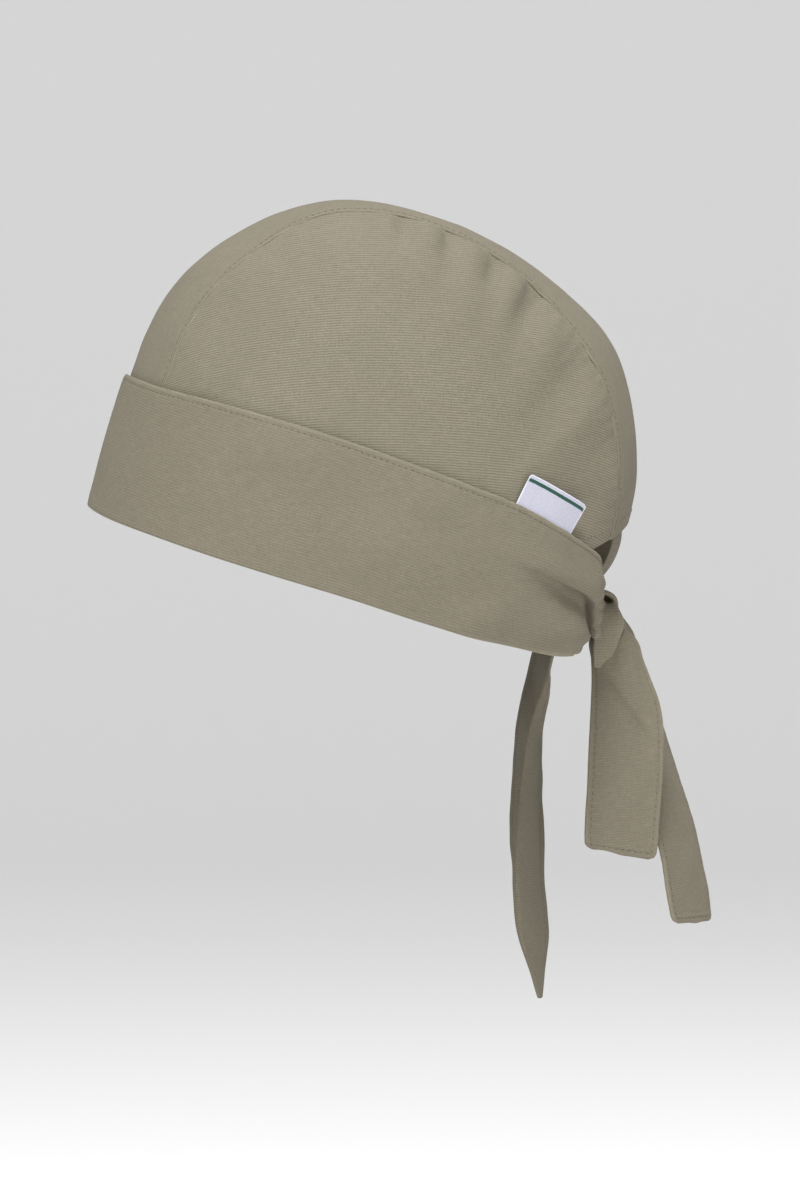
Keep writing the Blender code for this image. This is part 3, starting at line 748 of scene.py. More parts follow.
def ageing_group():
    """Node group: cloudy uneven dyeing, lint and lighter worn edges, as a factor on a colour."""
    if "Uneven dye and wear" in bpy.data.node_groups:
        return bpy.data.node_groups["Uneven dye and wear"]
    group, enter, leave = new_group(
        "Uneven dye and wear",
        (("Vector", "Vector"), ("Color", "Color"), ("Worn Color", "Color"), ("Wear", "Float"),
         ("Clouding", "Float")),
        (("Color", "Color"), ("Softness", "Float")),
    )
    cloud = noise(group, (-700, 160), enter["Vector"], 24.0, 4.0)
    lint = noise(group, (-700, -120), enter["Vector"], 1500.0, 2.0)
    cloudy = maths(group, "SUBTRACT", (-500, 160), cloud, 0.5)
    cloudy = maths(group, "MULTIPLY", (-360, 160), cloudy, enter["Clouding"])
    linty = maths(group, "SUBTRACT", (-500, -120), lint, 0.5)
    linty = maths(group, "MULTIPLY", (-360, -120), linty, 0.32)
    uneven = maths(group, "ADD", (-220, 100), cloudy, linty)
    bright = maths(group, "ADD", (-200, 60), uneven, 1.0)
    dyed = node(group, "ShaderNodeVectorMath", (0, 100), operation="SCALE",
                vector=enter["Color"], scale=bright).outputs[0]
    fluff = maths(group, "ADD", (-100, -240), lint, 0.35)
    rub = maths(group, "MULTIPLY", (0, -160), enter["Wear"], fluff)
    group.links.new(blend(group, (300, 60), rub, dyed, enter["Worn Color"]), leave["Color"])
    group.links.new(maths(group, "ADD", (300, -200), cloudy, rub), leave["Softness"])
    return group


def new_material(name, sheen, specular):
    """Material, its node tree and its shader."""
    made = bpy.data.materials.new(name)
    made.use_nodes = True
    shader = made.node_tree.nodes["Principled BSDF"]
    shader.location = (700, 0)
    shader.inputs["Sheen Weight"].default_value = sheen
    shader.inputs["Specular IOR Level"].default_value = specular
    return made, made.node_tree, shader


def woven(tree, thread_pitch, rib_pitch, slub, rib_depth):
    """Weave along the cloth's own threads, as the group's outputs."""
    threads = node(tree, "ShaderNodeUVMap", (-1100, 100), uv_map="cloth")
    return node(tree, "ShaderNodeGroup", (-850, 100), node_tree=weave_group(),
                vector=threads.outputs["UV"], thread_pitch=thread_pitch, rib_pitch=rib_pitch,
                slub=slub, rib_depth=rib_depth).outputs


def aged(tree, colour, worn_colour, clouding):
    """Uneven dye and wear on a colour, as the group's outputs."""
    place = node(tree, "ShaderNodeTexCoord", (-1100, -250))
    wear = node(tree, "ShaderNodeAttribute", (-850, -420), attribute_name="wear")
    return node(tree, "ShaderNodeGroup", (-300, -100), node_tree=ageing_group(),
                vector=place.outputs["Object"], color=colour, worn_color=worn_colour,
                wear=wear.outputs["Fac"], clouding=clouding).outputs


def set_shader(tree, shader, colour, roughness, bumps):
    """Links a shader to what was worked out for it."""
    for title, value in (("Base Color", colour), ("Roughness", roughness),
                         ("Normal", bumps.outputs["Normal"])):
        tree.links.new(value, shader.inputs[title])


def cloth(part, finish):
    """Matt cotton blend of a part: ribbed plain weave, uneven dye, worn edges, a soft sheen."""
    name = part + "_cotton"
    if name in bpy.data.materials:
        return bpy.data.materials[name]
    # For the knot this colour is lighter than the band's same cloth: painted light
    # For the tail this colour is darker than the crown's same cloth: painted shade
    colour = getattr(finish, part + "_colour")
    made, tree, shader = new_material(name, 0.03, 0.10)
    shader.inputs["Sheen Roughness"].default_value = 0.55
    shader.inputs["Sheen Tint"].default_value = (0.93, 0.90, 0.82, 1.0)
    weave = woven(tree, finish.thread_pitch, finish.rib_pitch, 0.5, RIB_DEPTHS[part])
    streaks = maths(tree, "SUBTRACT", (-640, 60), weave["Streak"], 0.5)
    streaks = maths(tree, "MULTIPLY_ADD", (-560, 60), streaks, 0.75, weave["Thread"])
    tint = blend(tree, (-440, 200), streaks, toned(colour, 0.62), toned(colour, 1.26))
    age = aged(tree, tint, toned(colour, 1.38), 0.16)
    rough = maths(tree, "MULTIPLY_ADD", (100, -200), weave["Thread"], -0.10, 0.93)
    softer = maths(tree, "MULTIPLY", (180, -300), age["Softness"], 0.12)
    rough = maths(tree, "ADD", (260, -200), rough, softer)
    place = node(tree, "ShaderNodeTexCoord", (-500, -600))
    soft = noise(tree, (-300, -600), place.outputs["Object"], 120.0, 3.0)
    crumple = node(tree, "ShaderNodeBump", (120, -560), strength=0.35, distance=0.0006,
                   height=soft)
    bumps = node(tree, "ShaderNodeBump", (400, -400), strength=0.55, distance=0.00012,
                 height=weave["Height"], normal=crumple.outputs["Normal"])
    set_shader(tree, shader, age["Color"], rough, bumps)
    return made


def seam_thread(finish):
    """Twisted sewing thread with a low gloss."""
    if "seam_thread" in bpy.data.materials:
        return bpy.data.materials["seam_thread"]
    made, tree, shader = new_material("seam_thread", 0.1, 0.35)
    place = node(tree, "ShaderNodeTexCoord", (-900, 0))
    twist = node(tree, "ShaderNodeTexWave", (-700, 0), bands_direction="DIAGONAL", scale=700.0,
                 distortion=1.5, vector=place.outputs["Object"]).outputs["Fac"]
    colour = finish.thread_colour
    tint = blend(tree, (-400, 100), twist, toned(colour, 0.62), toned(colour, 1.0))
    rough = maths(tree, "MULTIPLY_ADD", (-400, -100), twist, -0.2, 0.75)
    bumps = node(tree, "ShaderNodeBump", (-200, -250), strength=0.5, distance=0.00005,
                 height=twist)
    set_shader(tree, shader, tint, rough, bumps)
    return made


def label_satin(finish):
    """Satin woven tab with a plain stripe along its upper edge."""
    made, tree, shader = new_material("label_satin", 0.04, 0.4)
    weave = woven(tree, LABEL_THREAD_PITCH, 2 * LABEL_THREAD_PITCH, 0.25, 0.3)
    thread = weave["Thread"]
    band = node(tree, "ShaderNodeAttribute", (-850, -300), attribute_name="stripe")
    ragged = maths(tree, "MULTIPLY_ADD", (-640, -200), thread, 0.12, band.outputs["Fac"])
    inside = maths(tree, "GREATER_THAN", (-480, -200), ragged, 0.55)
    ground, stripe = finish.label_colour, finish.stripe_colour
    ground = blend(tree, (-440, 120), thread, toned(ground, 0.80), toned(ground, 1.0))
    stripe = blend(tree, (-440, -60), thread, toned(stripe, 0.7), toned(stripe, 1.0))
    age = aged(tree, blend(tree, (-200, 60), inside, ground, stripe), LABEL_WORN_COLOUR, 0.08)
    rough = maths(tree, "MULTIPLY_ADD", (200, -200), thread, -0.18, 0.62)
    bumps = node(tree, "ShaderNodeBump", (400, -300), strength=0.5, distance=0.00008,
                 height=weave["Height"])
    set_shader(tree, shader, age["Color"], rough, bumps)
    return made


# Sizes and finishes


class BandanaSizes(bpy.types.PropertyGroup):
    """Sizes of the cap. Those that the frame holds take their defaults from it."""

    rim_length: bpy.props.FloatProperty(
        name="Rim length", description="Front to back, at the rim", default=0.217,
        unit="LENGTH",
    )
    rim_width: bpy.props.FloatProperty(
        name="Rim width", description="Side to side, at the rim",
        default=2.0 * PANEL_BOX[1].x, unit="LENGTH",
    )
    crown_height: bpy.props.FloatProperty(
        name="Crown height", description="From the rim plane to the top", default=0.1545,
        unit="LENGTH",
    )
    rim_tilt: bpy.props.FloatProperty(
        name="Rim tilt", description="How far the rim dips towards the back",
        default=math.radians(16.3), subtype="ANGLE", unit="ROTATION",
    )
    rim_sag: bpy.props.FloatProperty(
        name="Rim sag", description="How far the rim hangs lower at the sides",
        default=0.0065, unit="LENGTH",
    )
    centre_width: bpy.props.FloatProperty(
        name="Centre panel width", description="Width of the strip over the top",
        default=CENTRE_BOX[1].x - CENTRE_BOX[0].x, unit="LENGTH",
    )
    band_height: bpy.props.FloatProperty(
        name="Band height", description="Height of the turned-up band at the front",
        default=0.058, unit="LENGTH",
    )
    cloth_wall: bpy.props.FloatProperty(
        name="Cloth thickness", description="Thickness of one layer of cloth",
        default=0.00055, unit="LENGTH",
    )
    tie_width: bpy.props.FloatProperty(
        name="Tie width", description="Width of each flat tie end", default=0.030,
        unit="LENGTH",
    )
    left_tie_length: bpy.props.FloatProperty(
        name="Left tie length", description="From the knot to the end of the left tie",
        default=0.0893, unit="LENGTH",
    )
    right_tie_length: bpy.props.FloatProperty(
        name="Right tie length", description="From the knot to the end of the right tie",
        default=0.1222, unit="LENGTH",
    )
    tail_width: bpy.props.FloatProperty(
        name="Tail width", description="Width of the tail where it leaves the crown",
        default=0.056, unit="LENGTH",
    )
    tail_drop: bpy.props.FloatProperty(
        name="Tail drop", description="How far the tail hangs below the knot",
        default=0.1434, unit="LENGTH",
    )


class BandanaFinish(bpy.types.PropertyGroup):
    """Colours and cloth of the cap."""

    crown_colour: bpy.props.FloatVectorProperty(
        name="Crown colour", description="Cloth of the crown panels", size=4, subtype="COLOR",
        min=0.0, max=1.0, default=(0.182, 0.164, 0.123, 1.0),
    )
    band_colour: bpy.props.FloatVectorProperty(
        name="Band colour", description="Cloth of the turned-up band", size=4,
        subtype="COLOR", min=0.0, max=1.0, default=(0.172, 0.154, 0.115, 1.0),
    )
    tie_colour: bpy.props.FloatVectorProperty(
        name="Tie colour", description="Cloth of the tie ends", size=4, subtype="COLOR",
        min=0.0, max=1.0, default=(0.172, 0.154, 0.115, 1.0),
    )
    # The knot is the band's cloth, given a lighter colour here: painted light on the knot
    knot_colour: bpy.props.FloatVectorProperty(
        name="Knot colour", description="Cloth of the knot", size=4, subtype="COLOR",
        min=0.0, max=1.0, default=(0.212, 0.190, 0.142, 1.0),
    )
    # The tail is the crown's cloth, given a darker colour here: painted shade on the tail
    tail_colour: bpy.props.FloatVectorProperty(
        name="Tail colour", description="Cloth of the tail", size=4, subtype="COLOR",
        min=0.0, max=1.0, default=(0.150, 0.134, 0.099, 1.0),
    )
    thread_colour: bpy.props.FloatVectorProperty(
        name="Thread colour", description="Sewing thread", size=4, subtype="COLOR",
        min=0.0, max=1.0, default=(0.130, 0.117, 0.080, 1.0),
    )
    label_colour: bpy.props.FloatVectorProperty(
        name="Label colour", description="Ground of the woven tab", size=4, subtype="COLOR",
        min=0.0, max=1.0, default=(0.46, 0.46, 0.54, 1.0),
    )
    stripe_colour: bpy.props.FloatVectorProperty(
        name="Stripe colour", description="Plain stripe of the woven tab", size=4,
        subtype="COLOR", min=0.0, max=1.0, default=(0.003, 0.062, 0.042, 1.0),
    )
    thread_pitch: bpy.props.FloatProperty(
        name="Thread pitch", description="Distance between neighbouring threads",
        default=0.00042, precision=5, unit="LENGTH",
    )
    rib_pitch: bpy.props.FloatProperty(
        name="Rib pitch", description="Distance between the fine ribs of the weave",
        default=0.00112, precision=5, unit="LENGTH",
    )


class StageSettings(bpy.types.PropertyGroup):
    """The view and the floor."""

    view_azimuth: bpy.props.FloatProperty(
        name="Azimuth", description="Direction the camera looks from",
        default=math.radians(84.0), subtype="ANGLE", unit="ROTATION",
    )
    view_elevation: bpy.props.FloatProperty(
        name="Elevation", description="Height of the camera above the level",
        default=math.radians(2.0), subtype="ANGLE", unit="ROTATION",
    )
    view_distance: bpy.props.FloatProperty(
        name="Distance", description="From the camera to the cap", default=3.0, unit="LENGTH",
    )
    view_height: bpy.props.FloatProperty(
        name="Height shown", description="What the frame's height takes in at the cap",
        default=0.5, unit="LENGTH",
    )
    floor_level: bpy.props.FloatProperty(
        name="Floor level", description="Height of the floor", default=-0.42, unit="LENGTH",
    )


# Pieces


def finish_piece(made, slot, *nodes):
    """Ties a piece to the frame."""
    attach(made, "root")
    if nodes:
        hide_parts(*nodes)
    return made


def edge_wear(rows, columns, reach):
    """1 along the edges of a grid, falling off inwards. Reach is in rows and columns."""
    down = np.minimum(np.arange(rows), np.arange(rows)[::-1])[:, None]
    over = np.minimum(np.arange(columns), np.arange(columns)[::-1])[None, :]
    return np.clip(1.0 - np.minimum(down, over) / reach, 0.0, 1.0) ** 2


def hem_lift(distance, width, height):
    """Extra height of a folded hem at distances from its edge."""
    return height * (1.0 - smooth_step(width - 0.6 * MM, width + 0.5 * MM, distance))


def hem_line(to_end, rows):
    """Places of the hem's stitch line in some rows of a grid."""
    return np.array(rows), np.array([nearest(to_end[row], HEM_STITCH) for row in rows])


def build_centre_panel(sizes, finish):
    """The strip over the top, folded under along its seams and hemmed at the back."""
    crown = Crown(sizes)
    half = sizes.centre_width / 2
    inner_steps = np.linspace(-1.0, 1.0, 61) * (half - 3.4 * MM)
    edge_steps = np.array([0.25, 0.6, 1.0, 1.5, 2.0, 2.6]) * MM
    across = np.concatenate(([-half], -half + edge_steps, inner_steps, half - edge_steps[::-1],
                             [half]))
    base, _ = crown.strips(across, 300)
    normals = crown.normals(base)
    _, over = grid_lengths(base)
    to_end = over[:, -1:] - over
    from_seam = half - np.abs(across)[:, None] + 0.0 * over
    tug = np.sin(over / (5.6 * MM) + 0.7 * np.sin(over / (17.0 * MM)))
    height = calm_waves(over / MM, across[:, None] / MM, 0.8, 0.5)
    height = height * smooth_step(0.0, 12 * MM, from_seam) + 0.26 * MM
    height = height + tug * np.exp(-from_seam / (5.0 * MM)) * 0.10 * MM
    height = height + hem_lift(from_seam, SEAM_FOLD, 0.18 * MM)
    height = height + hem_lift(to_end, HEM_FOLD, 0.22 * MM)
    height = height - 0.40 * MM * dip(from_seam, 0.0, 0.5 * MM)
    height = height - 0.16 * MM * dip(from_seam, SEAM_STITCH, GROOVE_REACH)
    height = height - 0.16 * MM * dip(to_end, HEM_STITCH, GROOVE_REACH)
    outer = lift(base, normals, height)
    wall = sizes.cloth_wall + hem_lift(from_seam, SEAM_FOLD, 0.30 * MM)
    wall = wall + hem_lift(to_end, HEM_FOLD, 0.40 * MM)
    inner = lift(outer, normals, -wall)
    outer, inner = crown.worn(outer), crown.worn(inner)
    made = cloth_piece("crown_centre_panel", outer, inner, cloth("crown", finish),
                       wear=rubbed(to_end, 0.9 * MM, 0.12))
    outward = crown.worn_directions(base, normals)
    seams = [nearest(across, SEAM_STITCH - half), nearest(across, half - SEAM_STITCH)]
    lines = [(outer[row], outward[row]) for row in seams]
    hem = hem_line(to_end, range(len(across)))
    lines.append((outer[hem], outward[hem]))
    sewn = stitches("crown_seam_stitches", lines, seam_thread(finish))
    finish_piece(sewn, "crown_cloth")
    finish_piece(made, "crown_cloth", "centre_panel")
    return made


def build_side_panel(sizes, finish, side_name):
    """One gathered side panel."""
    crown = Crown(sizes)
    hand = 1 if side_name == "left" else -1
    half = crown.half
    seam = sizes.centre_width / 2
    under = np.array([-5.0, -4.0, -3.0, -2.0, -1.2, -0.6, -0.2, 0.2, 0.6, 1.0, 1.5, 2.1, 2.8]) * MM
    start = math.asin((seam + 3.6 * MM) / half)
    panel = half * np.sin(np.linspace(start, math.pi / 2, 84))
    across = np.concatenate((seam + under, panel))
    columns = 250
    base, sweeps = crown.strips(across, columns)
    normals = crown.normals(base)
    down, over = grid_lengths(base)
    from_seam = down - np.interp(seam, across, down[:, columns // 2])
    to_end = over[:, -1:] - over
    share = across[:, None] / half + 0.0 * over
    degrees = np.degrees(sweeps)
    gathered = smooth_step(70.0, 84.0, degrees)
    gathered = gathered * (1.0 - 0.5 * smooth_step(118.0, 150.0, degrees))
    fine = np.sin(degrees * 2.35 + 0.9 * np.sin(degrees * 0.31) + hand)
    fine = fine + 0.55 * np.sin(degrees * 4.1 + 1.7 * hand)
    height = relief(CROWN_PUCKERS, degrees, share)
    height = height + fine * gathered * 0.34 * MM * np.exp(-np.abs(from_seam) / (9.0 * MM))
    height = height + calm_waves(base[..., 1] / MM, base[..., 2] / MM, 2.2, 1.1 * hand)
    height = height * smooth_step(-1.5 * MM, 3.5 * MM, from_seam)
    height = height * smooth_step(0.02, 0.25, 1.0 - share)
    height = height - 0.85 * MM * (1.0 - smooth_step(-0.35 * MM, 0.95 * MM, from_seam))
    beside_seam = smooth_step(0.0, 2 * MM, from_seam)
    height = height + hem_lift(to_end, HEM_FOLD, 0.22 * MM) * beside_seam
    height = height - 0.14 * MM * dip(to_end, HEM_STITCH, GROOVE_REACH)
    outer = lift(base, normals, height)
    wall = sizes.cloth_wall + hem_lift(to_end, HEM_FOLD, 0.40 * MM) * beside_seam
    inner = lift(outer, normals, -wall)
    outward = crown.worn_directions(base, normals)
    outer, inner = crown.worn(outer), crown.worn(inner)
    for grid in (outer, inner, outward):
        grid[..., 0] *= hand
    rising = outer[..., 2] + 0.35 * (half - base[..., 0])
    made = cloth_piece("crown_side_panel_" + side_name, outer, inner, cloth("crown", finish),
                       outer[..., 1], rising, wear=rubbed(to_end, 0.9 * MM, 0.25))
    hem = hem_line(to_end, range(9, len(across) - 6))
    sewn = stitches("crown_hem_stitches_" + side_name, [(outer[hem], outward[hem])],
                    seam_thread(finish))
    finish_piece(sewn, "crown_cloth")
    finish_piece(made, "crown_cloth", "side_panel_" + side_name)
    return made


def band_surface(crown, sizes, angles, shares, gap, folded):
    """One side of the band in the rim's frame, and its outward directions."""
    hand = np.sign(angles)
    size = np.abs(angles)
    edges = spline([row[0] for row in BAND_EDGES], [row[1:] for row in BAND_EDGES], size)
    top = edges[:, 0:1] * sizes.band_height
    bottom = edges[:, 1:2] * sizes.band_height
    up_band = shares[None, :] + 0.0 * top
    degrees = size[:, None] + 0.0 * up_band
    height = bottom + (top - bottom) * up_band
    stand = gap - edges[:, 2:3] * 5.0 * MM + 0.0 * up_band
    if folded:
        stand = stand + relief(BAND_PUFFS, degrees, up_band)
        width = top - bottom
        along = angles[:, None] * 1.63 + 0.0 * up_band
        quiet = smooth_step(0.0, 0.08, up_band) * smooth_step(0.0, 0.10, 1.0 - up_band)
        stand = stand + calm_waves(along, up_band * 58.0, 1.0, 2.2) * quiet
        strength = smooth_step(122.0, 160.0, degrees)
        line = 0.61 - 0.19 * smooth_step(148.0, 176.0, degrees)
        away = up_band - line
        flap = dip(away, 0.075, 0.085)
        reach = np.where(away > -0.065, 0.055, 0.165 - 0.065 * strength)
        pocket = dip(away, -0.065, reach)
        hang = dip(away, 0.045, 0.075)
        tuck = dip(away, -0.055, 0.060)
        stand = stand + strength * (2.5 * MM * flap - 4.9 * MM * pocket)
        height = height + strength * width * (0.055 * tuck - 0.072 * hang)
        pleats = smooth_step(156.0, 173.0, degrees) * quiet
        stand = stand + 0.55 * MM * pleats * np.sin(up_band * 31.0 + 0.05 * degrees)
        floor = gap - 2.0 * MM - edges[:, 2:3] * 5.0 * MM
        stand = np.maximum(stand, floor)
        from_top = width * (1.0 - up_band)
        groove = dip(from_top, BAND_STITCH, GROOVE_REACH)
        lip = dip(from_top, 0.0, 0.9 * MM)
        stand = stand - 0.22 * MM * groove - 0.35 * MM * lip
        tug = np.sin(angles[:, None] * 0.95 + 0.8 * np.sin(angles[:, None] * 0.21))
        stand = stand + tug * np.exp(-from_top / (5.0 * MM)) * 0.12 * MM
    around = np.radians(degrees)
    radius = crown.outline(around, np.maximum(height, 0.0)) + stand
    return np.stack(
        [hand[:, None] * radius * np.sin(around), -radius * np.cos(around), height], axis=-1
    )


def build_band(sizes, finish):
    """The turned-up cuff, pleated into the knot at both ends."""
    crown = Crown(sizes)
    quarter = np.concatenate((np.linspace(0.0, 128.0, 118), np.linspace(128.6, 177.4, 96)))
    quarter[0] = 1e-6
    angles = np.concatenate((-quarter[:0:-1], quarter))
    top_rows = 1.0 - np.array([3.2, 2.6, 2.2, 1.9, 1.6, 1.2, 0.8, 0.4, 0.0]) * MM / TYPICAL_BAND
    shares = np.concatenate((np.linspace(0.0, 0.935, 52), top_rows))
    outer = crown.worn(band_surface(crown, sizes, angles, shares, 2.9 * MM, True))
    inner = crown.worn(band_surface(crown, sizes, angles, shares, 0.75 * MM, False))
    from_top = (1.0 - shares) * TYPICAL_BAND
    pinch = dip(from_top, 0.0, 3.0 * MM)[None, :, None] * 0.42
    inner = inner + (outer - inner) * pinch
    down, over = grid_lengths(outer.transpose(1, 0, 2))
    over, down = over.T, down.T
    wear = np.maximum(rubbed(down[:, -1:] - down, 0.8 * MM, 0.35), rubbed(down, 1.4 * MM, 0.2))
    made = cloth_piece("front_band_cuff", outer, inner, cloth("band", finish), over, down,
                       wear=wear)
    normals = grid_normals(outer)
    if np.einsum("ijk,ijk->", normals, outer - outer.mean(axis=(0, 1))) < 0.0:
        normals = -normals
    column = nearest(from_top, BAND_STITCH)
    keep = np.abs(angles) < 172.0
    sewn = stitches("band_edge_stitches", [(outer[keep, column], normals[keep, column])],
                    seam_thread(finish))
    finish_piece(sewn, "band_cloth")
    finish_piece(made, "band_cloth", "front_band")
    return made


def build_label(sizes, finish):
    """The small woven tab that stands out of the band's top seam on the wearer's left."""
    crown = Crown(sizes)
    reach_out = LABEL_LENGTH / 2
    middle = crown.outline(np.array([LABEL_ANGLE]), np.array([sizes.band_height]))[0]
    over = np.linspace(-1.0, 1.0, 61)
    degrees = math.degrees(LABEL_ANGLE) + over * math.degrees(reach_out / middle)
    edges = spline([row[0] for row in BAND_EDGES], [row[1:] for row in BAND_EDGES], degrees)
    ups = np.concatenate((np.linspace(-LABEL_HIDDEN_SHARE, 0.94, 38), [0.965, 0.985, 1.0]))
    corner = np.clip((np.abs(over) - 0.90) / 0.10, 0.0, 1.0)
    rows = []
    for share in ups:
        reach = LABEL_HEIGHT * (1.0 - 0.055 * corner**2) * share
        level = edges[:, 0] * sizes.band_height + 0.4 * MM + reach
        free = max(share, 0.0)
        curl = 0.9 * MM * free**2 + 0.35 * MM * np.sin(over * 2.2 + 0.6) * free
        stand = 1.55 * MM + share * 1.2 * MM + curl
        around = np.radians(degrees) + share * LABEL_HEIGHT * math.tan(LABEL_SKEW) / middle
        radius = crown.outline(around, level) + stand
        rows.append(np.stack([radius * np.sin(around), -radius * np.cos(around), level], axis=-1))
    outer = crown.worn(np.array(rows))
    normals = grid_normals(outer)
    if normals[20, 30, 0] < 0.0:
        normals = -normals
    share_up = np.repeat(ups[:, None], len(over), axis=1)
    stripe = np.clip(1.0 - np.abs(share_up - 0.845) / 0.105, 0.0, 1.0)
    made = cloth_piece("woven_label_tab", outer, outer - normals * 0.42 * MM, label_satin(finish),
                       wear=edge_wear(len(ups), len(over), 1.6), stripe=stripe)
    finish_piece(made, "label_weave", "label")
    return made


def strap(points, across, sides=20, rings=26):
    """A flattened closed tube along a smooth line: vertices and faces."""
    rows = along_rows(np.array(points), np.linspace(0.0, 1.0, rings))
    centre = rows[:, :3] * MM
    ahead = np.gradient(centre, axis=0)
    ahead /= np.linalg.norm(ahead, axis=1, keepdims=True)
    wide = np.array(across)[None, :] - ahead * (ahead @ np.array(across))[:, None]
    wide /= np.linalg.norm(wide, axis=1, keepdims=True)
    thick = np.cross(ahead, wide)
    turn = 2 * np.pi * np.arange(sides) / sides
    power = 0.72
    u = np.sign(np.cos(turn)) * np.abs(np.cos(turn)) ** power
    v = np.sign(np.sin(turn)) * np.abs(np.sin(turn)) ** power
    ring = (
        centre[:, None]
        + wide[:, None] * u[None, :, None] * rows[:, 3][:, None, None] * MM
        + thick[:, None] * v[None, :, None] * rows[:, 4][:, None, None] * MM
    )
    vertices = np.concatenate((ring.reshape(-1, 3), centre[:1], centre[-1:]))
    faces = ring_faces(rings - 1, sides)
    first, last = rings * sides, rings * sides + 1
    for side in range(sides):
        a, b = side, (side + 1) % sides
        faces.append((b, a, first))
        faces.append((a + (rings - 1) * sides, b + (rings - 1) * sides, last))
    return vertices, faces


def build_knot(sizes, finish):
    """The knot: straps laid over each other, then drawn together into one skin."""
    crown = Crown(sizes)
    middle = crown.knot_middle()
    vertices, faces, base = [], [], 0
    for points, across in KNOT_STRAPS:
        some, sides = strap(points, across)
        vertices.append(some)
        faces.extend(tuple(corner + base for corner in face) for face in sides)
        base += len(some)
    bulk = []
    rings, sides_count = 16, 24
    for row in range(rings + 1):
        tilt = math.pi * row / rings
        for side in range(sides_count):
            turn = 2 * math.pi * side / sides_count
            bulk.append((6.0 * math.sin(tilt) * math.cos(turn),
                         4.6 * math.sin(tilt) * math.sin(turn) - 0.4,
                         6.4 * math.cos(tilt) - 2.0))
    faces += ring_faces(rings, sides_count, base)
    vertices.append(np.array(bulk) * MM)
    # Its cloth is lighter than the band's: painted light on the knot
    made = new_object("tied_knot", (np.concatenate(vertices) + middle).tolist(), faces,
                      cloth("knot", finish))
    bpy.context.view_layer.objects.active = made
    remesh = made.modifiers.new("Drawn together", "REMESH")
    remesh.mode = "VOXEL"
    remesh.voxel_size = 0.42 * MM
    calm = made.modifiers.new("Calmed", "SMOOTH")
    calm.factor = 0.5
    calm.iterations = 5
    with bpy.context.temp_override(object=made, active_object=made, selected_objects=[made]):
        bpy.ops.object.modifier_apply(modifier=remesh.name)
        bpy.ops.object.modifier_apply(modifier=calm.name)
    mesh = made.data
    mesh.shade_smooth()
    place = np.zeros(len(mesh.vertices) * 3)
    mesh.vertices.foreach_get("co", place)
    place = place.reshape(-1, 3)
    set_threads(mesh, place[:, 1] * 0.8 + place[:, 0] * 0.6, place[:, 2])
    set_numbers(mesh, "wear", np.zeros(len(place)))
    finish_piece(made, "tie_cloth", "knot")
    return made


def tie_grid(crown, start, path, length, width, table, end_slant):
    """Middle surface of a tie end, its outward directions, and places along and across."""
    leaves = crown.knot_middle() + np.array(start) * MM
    shares = np.concatenate((np.linspace(0.0, 0.94, 96), np.linspace(0.945, 1.0, 16)))
    widest = math.pi / 2 * 0.86
    across = np.sin(np.linspace(-1.0, 1.0, 37) * widest) / math.sin(widest) / 2
    rows = along_rows(path, shares)
    points, outs = [], []
    bowl = (2.0 * across) ** 2 - 0.5
    for drop, back, left, wide, turn, cup in rows:
        middle = leaves + np.array([left, back, -drop]) * length
        facing = math.radians(turn)
        along = np.array([-math.sin(facing), math.cos(facing), 0.0])
        outward = np.array([math.cos(facing), math.sin(facing), 0.0])
        left_over = (1.0 - drop) * length
        round_off = max(0.0, 1.0 - left_over / (2.6 * MM))
        narrow = 1.0 - 0.16 * (1.0 - math.sqrt(1.0 - round_off**2))
        reach = across[:, None] * wide * width * narrow
        cupped = bowl[:, None] * cup * wide * width
        near_end = max(0.0, 1.0 - left_over / 0.025)
        slant = (across * end_slant * near_end)[:, None] * np.array([0.0, 0.0, -1.0])
        points.append(middle + reach * along - cupped * outward + slant)
        outs.append(np.repeat(outward[None, :], len(across), axis=0))
    points, outs = np.array(points), np.array(outs)
    along = rows[:, 0:1] * length / MM + 0.0 * across[None, :]
    over = across[None, :] + 0.0 * along
    height = creases(table, along, over, width / MM) + calm_waves(along, over * 30.0, 1.2, 0.3)
    height = height + 0.05 * MM * np.sin(along * 1.05) * np.exp(-(0.5 - np.abs(over)) * 30.0 / 3.0)
    return points + outs * height[..., None], along, over


